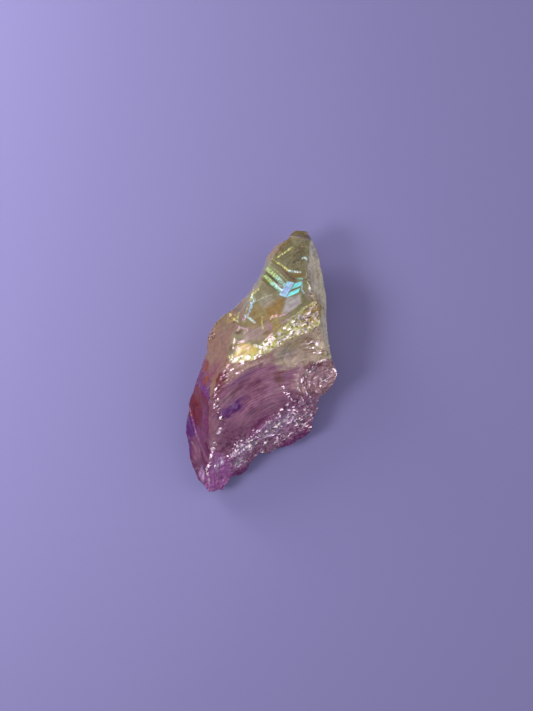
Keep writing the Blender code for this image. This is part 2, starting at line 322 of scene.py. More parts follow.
@dataclass(frozen=True)
class Line:
    """A narrow line over the stone, seen from above: its points and its width.

    core and rim say where it starts to fade and where it ends, in widths.
    """

    points: tuple[Point, ...]
    width: float
    core: float = field(default=0.3, kw_only=True)
    rim: float = field(default=0.7, kw_only=True)

    def weight(self, places: np.ndarray) -> np.ndarray:
        """1 on the line, falling to 0 at its edges.

        Args:
            places: The points in millimetres, one a row.

        Returns:
            One weight for each point.
        """
        pairs = zip(self.points, self.points[1:])
        nearest = np.min([segment_distance(places, a, b) for a, b in pairs], axis=0)
        return 1.0 - smooth(self.core * self.width, self.rim * self.width, nearest)


@dataclass(frozen=True)
class Stroke(Line):
    """A narrow bright or dark line: a crack, a crest or the riser of a growth step.
    The risers' flashes are painted reflections, the white lines painted highlights and
    the dark lines between the steps painted shade.
    """

    tint: Tint
    strength: float = 0.9


@dataclass(frozen=True)
class ChippedCrest(Line):
    """A crest that was chipped all along. glints is the share of it that flashes, with a
    painted highlight.
    """

    glints: float


@dataclass(frozen=True)
class Fan:
    """Ripples round the point that a shell was struck from.

    near and far bound the ripples, heading and half_fan their directions in degrees.
    The fades say over what distance, and in what shares of half_fan, they run out.
    wobble is how much their lines wander, in spacings, sharpness how narrow their
    crests are and trough the share of their height that lies below the surface.
    """

    centre: Point
    near: float
    far: float
    heading: float
    half_fan: float
    spacing: float
    height: float
    near_fade: float = 0.6
    far_fade: float = 0.8
    side_fade: tuple[float, float] = (0.8, 1.1)
    wobble: float = 0.8
    sharpness: float = 1.6
    trough: float = 0.4

    def reach(self, places: np.ndarray) -> tuple[np.ndarray, np.ndarray, np.ndarray]:
        """Where the ripples run.

        Args:
            places: The points in millimetres, one a row.

        Returns:
            The weight of the fan, the distance from its centre, and the distance
            round it, at each point.
        """
        along, across = turned(places, self.centre, self.heading)
        radius = np.hypot(along, across)
        angle = np.degrees(np.arctan2(across, along))
        inner, outer = (share * self.half_fan for share in self.side_fade)
        weight = smooth(self.near - self.near_fade, self.near + self.near_fade, radius)
        weight *= 1.0 - smooth(self.far - self.far_fade, self.far + self.far_fade, radius)
        weight *= 1.0 - smooth(inner, outer, np.abs(angle))
        return weight, radius, np.radians(angle) * 0.5 * (self.near + self.far)

    def relief(self, places: np.ndarray, wander: np.ndarray) -> np.ndarray:
        """Height of the ripples: soft troughs between narrow crests.

        Args:
            places: The points in millimetres, one a row.
            wander: How far the lines wander at each point, about -1 to 1.

        Returns:
            One height in millimetres for each point.
        """
        weight, radius, _ = self.reach(places)
        phase = (radius / self.spacing + self.wobble * wander) % 1.0
        return self.height * weight * (np.abs(2.0 * phase - 1.0) ** self.sharpness - self.trough)


@dataclass(frozen=True)
class Comb:
    """Parallel growth lines: their middle, reach, direction in degrees, spacing, height.

    flat is the share of the patch before it fades, and wobble how much the lines
    wander, in spacings.
    """

    centre: Point
    half_length: float
    half_width: float
    turn: float
    spacing: float
    height: float
    flat: float = 0.6
    wobble: float = 0.3

    def reach(self, places: np.ndarray) -> tuple[np.ndarray, np.ndarray, np.ndarray]:
        """Where the lines run.

        Args:
            places: The points in millimetres, one a row.

        Returns:
            The weight of the patch, and the distances across and along its lines, at
            each point.
        """
        along, across = turned(places, self.centre, self.turn)
        radius = np.hypot(along / self.half_length, across / self.half_width)
        return 1.0 - smooth(self.flat, 1.0, radius), across, along

    def relief(self, places: np.ndarray, wander: np.ndarray) -> np.ndarray:
        """Height of the lines.

        Args:
            places: The points in millimetres, one a row.
            wander: How far the lines wander at each point, about -1 to 1.

        Returns:
            One height in millimetres for each point.
        """
        weight, across, _ = self.reach(places)
        phase = (across / self.spacing + self.wobble * wander) % 1.0
        return self.height * weight * (np.abs(2.0 * phase - 1.0) - 0.5)


# The crests that bound the zones, as in the solid.
MAIN_FACE = (
    (-4.0, 25.6), (-2.2, 25.9), (-0.3, 26.1), (0.5, 22.9), (1.0, 20.0), (2.9, 16.8),
    (4.8, 14.8), (2.7, 12.7), (0.8, 9.3), (-0.9, 6.1), (-3.0, 3.4), (-3.2, 2.4),
    (-6.4, 0.2), (-8.0, -0.4), (-8.3, 1.9), (-8.4, 4.1), (-7.3, 7.5), (-7.3, 10.4),
    (-6.9, 13.6), (-6.6, 16.7), (-5.9, 20.2), (-5.2, 23.2),
)
CAP = (
    (-4.4, 26.6), (-4.0, 25.6), (-2.2, 25.9), (-0.3, 26.1), (0.6, 27.0), (-1.3, 28.6),
    (-3.6, 28.2),
)
TIP_FACE = (
    (-4.0, 25.6), (-2.2, 25.9), (-0.3, 26.1), (0.5, 22.9), (1.0, 20.0), (-2.1, 18.9),
    (-4.6, 19.8), (-5.6, 21.6), (-5.2, 23.2),
)
LEFT_FACE = (
    (-5.4, 27.0), (-4.0, 25.6), (-5.2, 23.2), (-5.9, 20.2), (-6.6, 16.7), (-6.9, 13.6),
    (-7.3, 10.4), (-7.3, 7.5), (-8.4, 4.1), (-8.3, 1.9), (-6.9, -1.3), (-8.3, -3.6),
    (-8.4, -6.7), (-8.7, -9.6), (-9.8, -6.8), (-10.8, -4.6), (-14.2, -1.0), (-14.4, 4.7),
    (-12.0, 9.0), (-9.6, 13.1), (-8.6, 21.0), (-6.6, 26.0),
)
RIGHT_STRIP = (
    (-0.3, 26.1), (0.6, 27.4), (3.2, 25.0), (7.4, 17.8), (9.0, 12.7), (12.4, 5.5),
    (10.3, 5.1), (8.9, 7.6), (7.0, 10.7), (4.8, 14.8), (2.9, 16.8), (1.0, 20.0), (0.5, 22.9),
)
GOLD_BAND = (
    (-8.0, -0.4), (-6.4, 0.2), (-4.6, 1.3), (-3.2, 2.4), (-3.0, 3.4), (-0.9, 6.1),
    (0.8, 9.3), (2.7, 12.7), (4.8, 14.8), (7.0, 10.7), (4.2, 8.2), (1.9, 6.0),
    (-0.2, 3.5), (-1.8, 1.6), (-4.2, -0.2), (-6.9, -1.3),
)
GOLD_FACET = (
    (-7.6, -0.2), (-6.4, 2.6), (-4.6, 3.2), (-3.4, 2.9), (-2.7, 2.0), (-4.8, 0.9), (-6.4, 0.0),
)
TAN_RIM = (
    (-6.9, -1.3), (-4.2, -0.2), (-1.8, 1.6), (-0.2, 3.5), (0.8, 1.6), (0.0, 0.6),
    (-2.2, -0.7), (-4.5, -2.8), (-6.4, -5.4), (-7.6, -5.0), (-8.0, -2.9),
)
SMOKY_SHELL = (
    (7.0, 10.7), (4.2, 8.2), (1.9, 6.0), (-0.2, 3.5), (0.0, 1.3), (0.6, 1.0), (2.5, -0.1),
    (5.6, 1.8), (8.3, 4.0), (10.3, 5.1), (8.9, 7.6),
)
PURPLE_SHELL = (
    (0.0, 1.3), (-2.2, -0.5), (-4.5, -2.8), (-6.4, -6.0), (-7.3, -8.3), (-5.5, -12.9),
    (-5.1, -15.8), (-5.7, -18.6), (-1.3, -20.0), (0.0, -15.5), (1.8, -13.0), (4.0, -9.2),
    (6.2, -5.4), (7.2, 1.0), (5.6, 1.8), (2.5, -0.1), (0.6, 1.0),
)
SHELL_FOOT = (
    (-5.1, -13.0), (-0.6, -11.6), (3.6, -6.6), (5.0, -2.6), (9.0, -4.0), (4.0, -10.0),
    (1.4, -14.4), (-1.6, -18.0), (-5.6, -18.6),
)
LOBE = (
    (14.6, 1.3), (12.4, 5.5), (10.3, 5.1), (8.3, 4.0), (5.6, 1.8), (4.8, -2.4), (9.4, -2.8),
    (13.0, -2.8),
)
LOWER_GRAIN = (
    (9.4, -2.2), (6.2, -5.4), (4.0, -9.2), (1.8, -13.0), (-1.6, -15.5), (-2.6, -20.0),
    (-0.8, -24.0), (2.4, -24.0), (4.4, -18.6), (8.4, -15.6), (12.2, -12.4), (14.0, -6.0),
    (13.2, -1.6),
)
LOWER_EDGE = (
    (-1.0, -25.2), (-0.4, -22.1), (1.6, -20.6), (3.9, -18.0), (6.1, -15.8), (8.2, -13.2),
    (9.7, -11.2), (11.4, -9.2), (13.6, -9.2), (12.0, -14.0), (8.0, -18.0), (4.0, -24.0),
    (2.0, -27.0),
)
ROOT = ((-5.6, -19.0), (-1.6, -19.6), (0.8, -24.0), (-0.6, -29.0), (-5.9, -28.6), (-5.3, -22.4))
SPINE_STRIP = (
    (-8.7, -9.6), (-7.8, -12.8), (-7.0, -15.6), (-6.0, -18.6), (-5.4, -16.2), (-5.8, -12.9),
    (-7.3, -8.9),
)
FLANK = (
    (-14.0, -1.0), (-10.8, -4.6), (-9.8, -6.8), (-8.7, -9.6), (-7.7, -12.8), (-6.9, -15.6),
    (-5.8, -18.6), (-5.3, -21.4), (-5.0, -25.2), (-4.6, -29.0), (-10.4, -26.0),
    (-14.6, -16.0), (-14.6, -7.0),
)
RED_FACET = (
    (-12.4, -7.7), (-9.3, -9.4), (-7.9, -12.2), (-7.0, -16.2), (-9.3, -15.6), (-12.2, -14.6),
    (-13.9, -11.0),
)
AMBER_WINDOW = (
    (-4.2, 10.4), (-3.6, 12.0), (-2.5, 13.2), (-1.1, 13.5), (-0.8, 10.2), (-2.0, 9.2),
    (-3.6, 9.5),
)
GREY_FACET = ((-5.1, 13.3), (-2.6, 12.4), (-3.8, 10.8), (-5.0, 10.4), (-5.8, 11.4))
LILAC_FACET = ((-0.9, 13.7), (1.4, 15.2), (2.0, 13.6), (0.8, 11.6), (-0.8, 10.6))
VIOLET_FLASH = ((-1.8, 16.9), (-0.4, 17.0), (-1.1, 13.7), (-2.5, 13.8))

# The faces that the growth steps turn to the light; their flashes are painted into
# the tint as painted reflections.
STEP_GREEN = ((-6.6, 17.8), (-6.3, 18.4), (-3.9, 17.4), (-4.5, 16.7))
STEP_GREEN_LOW = ((-6.5, 16.4), (-6.0, 16.9), (-4.4, 16.0), (-4.9, 15.3))
STEP_ICE = ((-4.5, 16.7), (-3.9, 17.4), (-1.7, 16.1), (-2.1, 15.5))
STEP_ICE_LOW = ((-4.9, 15.3), (-4.4, 16.0), (-2.0, 15.0), (-2.5, 14.3))
STEP_CYAN = ((-0.3, 16.9), (0.9, 17.8), (0.9, 16.8), (-0.6, 15.6))
STEP_CYAN_LOW = ((-0.7, 14.9), (0.9, 16.3), (0.9, 15.4), (-1.0, 13.7))

ZONES = (
    Zone(LEFT_FACE, Tint.ROSE_TAN, softness=1.0, streaks=0.12, clarity=0.12),
    Zone(RIGHT_STRIP, Tint.PEARL_TAN, softness=0.8, streaks=0.2, chips=0.18, glints=0.06),
    Zone(MAIN_FACE, Tint.SMOKY_OLIVE, softness=1.3, streaks=0.18, clarity=0.5),
    Zone(TIP_FACE, Tint.TIP_OLIVE, softness=0.8, streaks=0.1, chips=0.4, glints=0.02, clarity=0.5),
    Zone(CAP, Tint.CAP_OLIVE, softness=0.7, streaks=0.1, chips=0.1, clarity=0.5),
    Zone(GOLD_BAND, Tint.PALE_GOLD, softness=0.6, chips=0.95, glints=0.56, clarity=0.1),
    Zone(GOLD_FACET, Tint.HOT_GOLD, softness=0.7, streaks=0.3, chips=0.1, clarity=0.1),
    Zone(SMOKY_SHELL, Tint.SMOKY_TAN, softness=1.4, streaks=0.3, chips=0.3, glints=0.03),
    Zone(PURPLE_SHELL, Tint.AMETHYST_ROSE, softness=0.9, streaks=0.55, chips=0.12, clarity=0.2),
    Zone(SHELL_FOOT, Tint.WINE, softness=3.0, strength=0.9, streaks=0.25, chips=0.4, clarity=0.1),
    Zone(TAN_RIM, Tint.RIM_BUFF, softness=1.0, streaks=0.4, chips=0.3, glints=0.06),
    Zone(LOBE, Tint.PALE_ROSE, softness=1.2, streaks=0.5, chips=0.5, glints=0.22, clarity=0.2),
    Zone(LOWER_GRAIN, Tint.GRAPE, softness=2.4, chips=0.9, glints=0.3, clarity=0.15),
    Zone(
        LOWER_EDGE, Tint.MAGENTA, softness=1.2, strength=0.97, chips=0.5, glints=0.04, clarity=0.1
    ),
    Zone(ROOT, Tint.ROOT_VIOLET, softness=2.2, streaks=0.35, chips=0.45, glints=0.07, clarity=0.2),
    Zone(FLANK, Tint.PLUM, streaks=0.4, chips=0.1, glints=0.02, clarity=0.05),
    Zone(RED_FACET, Tint.MAROON, softness=0.5, strength=0.97, streaks=0.1, clarity=0.0),
    Zone(SPINE_STRIP, Tint.SPINE_ROSE, softness=0.8, strength=0.8, streaks=0.2, clarity=0.2),
)

# Outline, tint, softness, strength and gaps.
FACETS = (
    Facet(AMBER_WINDOW, Tint.AMBER, 0.9, 0.85),
    Facet(GREY_FACET, Tint.LILAC_GREY, 1.0, 0.25),
    Facet(LILAC_FACET, Tint.LILAC_GREY, 0.7, 0.75),
    # The growth steps: their colours are painted reflections of the film.
    Facet(STEP_GREEN, Tint.SPRING_GREEN, 0.2, 0.8, gaps=0.9),
    Facet(STEP_GREEN_LOW, Tint.SPRING_GREEN, 0.2, 0.8, gaps=0.7),
    Facet(STEP_ICE, Tint.MINT, 0.2, 0.95, gaps=0.6),
    Facet(STEP_ICE_LOW, Tint.MINT, 0.2, 1.0, gaps=0.5),
    Facet(VIOLET_FLASH, Tint.PERIWINKLE, 0.14, 1.0, gaps=0.2),
    Facet(STEP_CYAN, Tint.CYAN, 0.12, 1.0, gaps=0.1),
    Facet(STEP_CYAN_LOW, Tint.CYAN, 0.12, 1.0, gaps=0.1),
)

# Middle, half length, half width, turn, tint, strength and hardness.
BLOTS = (
    # Left face and left edge of the tip
    Blot((-10.6, 6.6), 4.6, 3.0, 50, Tint.WARM_TAN, 0.8),
    Blot((-7.6, 12.0), 5.0, 2.0, 80, Tint.SMOKY_OLIVE, 0.6),
    Blot((-7.2, 17.6), 5.0, 1.6, 76, Tint.SMOKY_OLIVE, 0.9),
    Blot((-9.8, 7.0), 2.4, 1.3, 40, Tint.STRAW, 0.7),
    Blot((-5.8, 23.0), 5.0, 2.0, 66, Tint.STRAW, 0.9),
    Blot((-10.2, -4.6), 5.0, 1.9, 70, Tint.DUSTY_ROSE, 0.95, 0.0),
    # Right edge of the tip
    Blot((1.4, 24.6), 2.4, 0.8, 115, Tint.LILAC_GREY, 0.7),
    Blot((3.4, 20.6), 1.8, 0.5, 108, Tint.HONEY, 0.6),
    Blot((2.4, 19.0), 2.4, 0.9, 118, Tint.ROSE_TAN, 0.4),
    Blot((5.4, 14.8), 3.6, 0.7, 112, Tint.WARM_TAN, 0.3),
    Blot((7.4, 11.4), 5.0, 1.1, 115, Tint.PEARL_GREY, 0.3),
    Blot((2.4, 23.0), 2.6, 0.7, 118, Tint.PEARL_GREY, 0.7),
    # Main face above and between the growth steps
    Blot((-1.6, 23.6), 2.4, 1.6, 80, Tint.CAP_OLIVE, 0.6),
    Blot((-1.0, 22.6), 2.6, 1.5, 70, Tint.DARK_OLIVE, 0.3),
    Blot((-2.0, 17.8), 3.2, 0.9, 155, Tint.ROSE_TAN, 0.6),
    Blot((-0.4, 18.6), 1.6, 1.0, 20, Tint.STRAW, 0.7),
    Blot((-4.4, 14.6), 1.8, 0.7, 150, Tint.WARM_TAN, 0.5),
    Blot((3.0, 15.6), 2.0, 1.0, 115, Tint.PINK_BUFF, 0.6),
    # Main face below the growth steps
    Blot((-3.6, 7.6), 5.4, 4.2, 52, Tint.HONEY, 0.65),
    Blot((-6.2, 9.2), 2.6, 1.8, 70, Tint.HONEY, 0.5),
    Blot((-4.6, 5.2), 4.2, 1.9, 36, Tint.PINK_BUFF, 0.9),
    Blot((-7.2, 6.4), 1.3, 0.6, 35, Tint.AMBER, 0.8),
    Blot((-7.6, 4.7), 1.2, 0.6, 50, Tint.BROWN, 0.7),
    Blot((-6.0, 8.7), 0.8, 0.5, 60, Tint.AMBER, 0.8),
    Blot((-2.3, 6.2), 1.2, 0.7, 40, Tint.AMBER, 0.75),
    Blot((1.0, 13.0), 0.9, 0.4, 45, Tint.PINK, 0.8),
    Blot((-2.6, 7.7), 1.6, 0.7, 150, Tint.PINK, 0.45),
    # Yellow upper end of the band
    Blot((4.6, 12.2), 4.2, 2.2, 62, Tint.GOLD, 1.1),
    Blot((-6.6, 2.2), 1.8, 0.9, 30, Tint.HONEY, 0.6),
    Blot((1.8, 9.4), 3.0, 0.9, 60, Tint.PALE_GOLD, 0.5, glints=0.7),
    Blot((-8.2, 1.3), 1.0, 0.6, 90, Tint.WARM_TAN, 0.8),
    # Shell fractures
    Blot((2.2, 3.6), 3.2, 1.8, 40, Tint.SLATE, 0.6, 0.0),
    Blot((6.2, 6.6), 3.0, 2.0, 60, Tint.WARM_TAN, 0.5, glints=0.2),
    Blot((7.7, 7.2), 2.8, 1.2, 118, Tint.PEARL_TAN, 0.3, glints=0.26),
    Blot((2.2, 0.9), 2.6, 0.8, 12, Tint.PINK_TAN, 0.6, 0.0),
    Blot((2.4, -1.4), 2.2, 1.5, 140, Tint.BROWN, 1.0, 0.2),
    Blot((2.6, -0.2), 1.0, 0.5, 60, Tint.RUST, 0.8),
    Blot((-3.6, -2.4), 3.4, 0.8, 46, Tint.AMETHYST, 0.55, 0.0),
    Blot((-4.8, -4.4), 3.8, 0.8, 50, Tint.AMETHYST, 0.55, 0.0),
    Blot((-4.5, -10.3), 3.8, 1.4, 42, Tint.AMETHYST, 1.2),
    Blot((-3.6, -8.0), 3.2, 0.6, 44, Tint.AMETHYST, 0.6),
    Blot((0.7, -8.6), 4.0, 1.7, 50, Tint.WINE, 0.7),
    Blot((0.2, -5.6), 4.6, 2.2, 52, Tint.MAUVE, 0.3),
    Blot((10.8, 1.2), 2.2, 1.8, 20, Tint.PINK_TAN, 0.5, glints=0.3),
    Blot((8.4, 3.0), 2.6, 0.9, 38, Tint.DUSTY_ROSE, 0.8, glints=0.12),
    Blot((8.0, 1.7), 2.4, 0.5, 48, Tint.PINK_TAN, 0.4, glints=0.4),
    Blot((4.8, -3.6), 2.6, 0.9, 140, Tint.MAUVE, 0.2, glints=0.35),
    # Brow between the gold facet and the purple shell
    Blot((-8.1, -4.8), 1.9, 0.9, 72, Tint.RUST, 1.3, 0.5),
    Blot((-8.2, -6.6), 1.4, 0.6, 72, Tint.MAROON, 0.7),
    # Lower edge and root
    Blot((4.8, -10.9), 6.2, 2.3, 52, Tint.MILKY_LILAC, 0.65, glints=0.64),
    Blot((6.9, -8.8), 3.0, 1.4, 46, Tint.MILKY_LILAC, 0.4, glints=0.55),
    Blot((0.4, -16.8), 3.6, 1.9, 55, Tint.MILKY_LILAC, 0.75, glints=0.8),
    Blot((0.2, -20.0), 2.2, 1.1, 62, Tint.MILKY_LILAC, 0.5, glints=0.66),
    Blot((1.4, -22.0), 2.6, 1.2, 40, Tint.MAGENTA, 1.2, 0.5),
    Blot((-3.0, -26.4), 2.8, 1.5, 20, Tint.ROOT_VIOLET, 0.5),
    Blot((-3.4, -21.2), 2.8, 1.2, 75, Tint.MILKY_LILAC, 0.8, glints=0.25),
    Blot((-6.0, -24.6), 2.4, 0.8, 110, Tint.MILKY_LILAC, 0.6),
    # Left flank
    Blot((-12.0, -3.6), 1.7, 0.9, 100, Tint.RUST_ORANGE, 1.2, 0.5),
    Blot((-11.0, -6.4), 1.5, 0.6, 80, Tint.RUST_ORANGE, 1.1, 0.5),
    Blot((-10.8, -11.0), 2.2, 1.2, 115, Tint.RUST, 0.4),
    Blot((-8.4, -14.0), 2.6, 0.9, 112, Tint.WINE, 0.7),
    Blot((-11.2, -16.2), 2.6, 1.7, 130, Tint.DEEP_VIOLET, 1.4, 0.6),
    Blot((-10.4, -19.6), 3.6, 0.9, 112, Tint.DEEP_VIOLET, 0.8),
    Blot((-12.6, -12.0), 3.6, 0.9, 104, Tint.MAROON, 1.2, 0.4),
    Blot((-8.2, -20.6), 3.6, 1.0, 112, Tint.PINK_TAN, 0.3),
)

# Points, width, tint and strength.
STROKES = (
    # Growth steps of the tip, from the cap down; their bright lines are painted
    # reflections of the film, and the dark olive lines painted shade between them.
    Stroke(((-4.0, 25.7), (-2.2, 26.0), (-0.4, 26.2)), 0.2, Tint.PINK_BUFF, 0.9),
    Stroke(((-5.0, 20.8), (-3.0, 23.6)), 0.34, Tint.LEMON),
    Stroke(((-5.9, 20.1), (-4.7, 19.6)), 0.24, Tint.LEMON, 0.8),
    Stroke(((-4.6, 19.7), (-2.2, 18.9)), 0.4, Tint.LEMON, 1.0),
    Stroke(((-2.1, 18.9), (0.0, 19.3)), 0.38, Tint.ICE, 1.0),
    Stroke(((-6.2, 18.8), (-4.1, 18.0), (-2.0, 17.0)), 0.2, Tint.SPRING_GREEN, 0.55),
    # Painted shade: dark gaps between the painted flashes of the steps.
    Stroke(((-0.9, 14.9), (1.0, 16.7)), 0.2, Tint.DARK_OLIVE, 1.0),
    Stroke(((-5.7, 17.0), (-3.7, 15.9), (-2.4, 15.2)), 0.3, Tint.DARK_OLIVE, 0.9),
    Stroke(((-0.4, 22.1), (0.1, 22.4), (0.4, 22.2)), 0.4, Tint.ICE, 1.0),
    Stroke(((0.9, 17.6), (1.3, 16.2), (2.2, 15.4)), 0.3, Tint.PERIWINKLE, 0.7),
    Stroke(((1.9, 18.2), (2.4, 17.0), (3.0, 16.4)), 0.3, Tint.ICE, 0.6),
    Stroke(((-0.4, 18.0), (0.8, 18.2)), 0.3, Tint.CYAN, 0.6),
    Stroke(((-2.0, 14.3), (-1.3, 15.6)), 0.5, Tint.ORCHID, 0.6),
    Stroke(((3.2, 22.6), (3.4, 22.0)), 0.4, Tint.PINK, 0.8),
    Stroke(((3.2, 18.6), (3.4, 18.2)), 0.4, Tint.PINK, 0.9),
    # Healed cracks near the left edge; their bright colours are painted reflections of
    # the film.
    Stroke(((-6.6, 13.6), (-7.4, 12.3), (-7.4, 11.2)), 0.4, Tint.LEMON, 0.8),
    Stroke(((-7.4, 12.0), (-6.6, 11.4), (-7.0, 10.6)), 0.5, Tint.ICE, 0.9),
    Stroke(((-6.9, 10.6), (-6.8, 9.4), (-7.0, 8.5), (-7.4, 7.9)), 0.45, Tint.PERIWINKLE, 0.9),
    Stroke(((-7.4, 8.0), (-6.5, 7.8), (-5.3, 7.3)), 0.45, Tint.ICE, 0.9),
    Stroke(((-7.4, 7.9), (-7.6, 7.1)), 0.35, Tint.PINK, 0.7),
    Stroke(((-7.8, 5.5), (-6.3, 5.7)), 0.35, Tint.PINK, 0.7),
    Stroke(((-6.3, 11.2), (-5.2, 12.4), (-3.8, 13.4)), 0.25, Tint.PEARL_GREY, 0.5),
    Stroke(((-6.1, 10.3), (-4.1, 9.1)), 0.25, Tint.WARM_TAN, 0.8),
    Stroke(((-4.2, 8.8), (-3.9, 7.6), (-3.4, 6.6)), 0.28, Tint.LEMON, 0.5),
    Stroke(((-10.6, 7.6), (-9.8, 6.9), (-8.8, 6.6)), 0.3, Tint.LEMON, 0.6),
    Stroke(((-8.9, 8.3), (-8.7, 7.2), (-8.4, 6.4)), 0.3, Tint.SPRING_GREEN, 0.6),
    # Pink and gold lines over the band of grain
    Stroke(((4.1, 16.1), (5.0, 15.0), (5.6, 14.0)), 0.8, Tint.HONEY, 0.8),
    Stroke(((-1.1, 10.0), (-0.3, 10.5), (0.3, 11.3)), 0.3, Tint.PINK, 0.9),
    Stroke(((-1.4, 7.2), (-0.4, 8.6)), 0.5, Tint.GOLD, 0.6),
    Stroke(((-0.4, 8.8), (0.6, 9.8), (1.4, 10.6)), 0.5, Tint.PINK, 0.6),
    # Bright lower rim of the gold facet, and its crest: painted highlights
    Stroke(((-7.3, -1.0), (-6.4, -0.7), (-5.4, 0.1), (-4.4, 0.6)), 0.8, Tint.IVORY, 0.5),
    Stroke(((-3.9, 3.2), (-2.8, 3.1), (-1.9, 3.4)), 0.5, Tint.IVORY, 1.0),
    # Rims of the shells
    Stroke(((-4.8, -1.6), (-2.4, 0.2), (-0.2, 1.5)), 0.9, Tint.PINK_BUFF, 0.5),
    Stroke(((3.2, 0.7), (5.2, 2.0), (5.9, 3.0), (8.4, 4.7)), 0.3, Tint.PINK_TAN, 0.6),
    # Red crease beside the spine, and crests of the flank
    Stroke(((-7.3, -11.3), (-6.2, -11.7), (-5.5, -12.4)), 0.35, Tint.RUST, 0.6),
    Stroke(((-12.9, -12.2), (-11.4, -14.4), (-9.4, -17.4)), 0.35, Tint.MAUVE, 0.7),
    Stroke(((-11.9, -7.2), (-10.6, -8.0), (-9.7, -9.1)), 1.1, Tint.AMETHYST, 0.8),
    Stroke(((-9.3, -11.2), (-8.4, -14.2), (-7.6, -16.6)), 1.1, Tint.WINE, 0.85),
    Stroke(((-12.4, -16.6), (-11.5, -19.8), (-10.0, -23.0)), 0.8, Tint.DEEP_VIOLET, 0.85),
    Stroke(((-9.1, -15.6), (-8.0, -17.9)), 0.3, Tint.WINE, 0.9),
    Stroke(((-9.5, -16.9), (-8.1, -19.8)), 0.25, Tint.WINE, 0.8),
    Stroke(((-10.3, -16.2), (-9.1, -18.5)), 0.25, Tint.WINE, 0.7),
    # Painted highlights: small white glints along the root and the spine.
    Stroke(((-1.1, -20.6), (-0.9, -22.2)), 0.3, Tint.IVORY, 0.4),
    Stroke(((-7.7, -9.2), (-7.2, -9.0)), 0.3, Tint.IVORY, 0.55),
    Stroke(((-5.3, -14.4), (-5.6, -15.3)), 0.3, Tint.IVORY, 0.4),
    Stroke(((-5.4, -17.6), (-5.7, -18.6)), 0.3, Tint.IVORY, 0.45),
    Stroke(((-5.5, -19.6), (-5.4, -20.6)), 0.3, Tint.IVORY, 0.5),
)

# Centre, near, far, heading, half fan, spacing and height.
FANS = (
    Fan((12.3, -17.9), 12.0, 23.6, 140, 46, 0.8, 0.045),
    Fan((12.4, 0.8), 1.2, 6.4, 165, 75, 0.65, 0.07),
    Fan((9.5, -0.5), 5.0, 9.5, 128, 26, 0.9, 0.04),
)
# Middle, half length, half width, turn, spacing and height.
COMBS = (
    Comb((-9.0, -18.5), 6.0, 3.6, 128, 0.55, 0.06),
    Comb((-10.8, -11.0), 4.0, 2.4, 118, 0.8, 0.04),
    Comb((-4.2, 16.6), 4.6, 3.4, -27, 0.28, 0.0),
    Comb((-3.4, -24.6), 5.6, 3.2, 100, 0.7, 0.03),
)

# Points, width and glints.
CHIPPED_CRESTS = (
    ChippedCrest(((-8.0, -7.2), (-7.5, -9.0), (-7.6, -10.4)), 0.8, 0.5),
    ChippedCrest(
        ((-4.7, -13.4), (-5.4, -15.2), (-5.4, -18.6), (-5.2, -21.4), (-5.0, -24.4)), 0.8, 0.45
    ),
    ChippedCrest(((-7.0, -4.6), (-5.2, -3.2), (-3.4, -1.4), (-1.6, -0.2)), 0.8, 0.2),
    ChippedCrest(((-7.4, 13.0), (-7.2, 10.4), (-7.2, 7.6)), 1.0, 0.12),
    ChippedCrest(((-11.0, 8.0), (-9.4, 7.0), (-8.2, 5.4)), 1.4, 0.08),
    ChippedCrest(((1.0, 20.0), (2.6, 17.2), (4.2, 15.4)), 1.2, 0.12),
    ChippedCrest(((6.0, 9.4), (6.6, 7.2), (8.2, 5.6), (9.6, 5.2)), 2.0, 0.24),
    ChippedCrest(((-7.4, -10.4), (-6.3, -10.9), (-4.7, -13.2)), 0.8, 0.3),
    ChippedCrest(((10.4, 7.6), (11.9, 4.4), (13.0, 2.4)), 1.8, 0.3),
    ChippedCrest(((-13.2, 5.6), (-12.6, 2.6)), 2.0, 0.0),
)

# Colour of the sides and the under side, by the distance from the root to the tip.
SIDE_TINTS = (
    (-28.0, Tint.ROOT_VIOLET),
    (-16.0, Tint.PLUM),
    (-6.0, Tint.DUSTY_ROSE),
    (2.0, Tint.ROSE_TAN),
    (12.0, Tint.PEARL_TAN),
    (28.0, Tint.STRAW),
)

# Uneven colour and form: the drift of the side tints, the wander of ripples and lines,
# the fine breaks in bright faces, the clusters of chips along a crest, the sway of
# patches' edges, the notches across growth steps, the streaks and bundles along the
# flow lines, the clouds in the colour and the swell of smooth faces.
DRIFT = Grain(2.2, 3.0, strength=2.0)
WANDER = Grain(1.3, 11.0)
BREAK_UP = Grain(0.32, 31.0)
CLUSTERS = Grain(0.9, 51.0)
SWAYS = (Grain(1.1, 21.0, strength=0.35), Grain(1.1, 43.0, strength=0.35))
NOTCHES = Grain(0.4, 57.0, (0.35, 1.6, 0.35))
FLOW_STREAKS = Grain(0.5, 7.0, (1.0, 0.16, 1.0))
BUNDLES = Grain(1.0, 41.0, (1.0, 0.12, 1.0))
CLOUDS = (Grain(0.8, 17.0, strength=0.22), Grain(0.3, 23.0, strength=0.16))
SWELL = Grain(0.9, 5.0, strength=0.012)


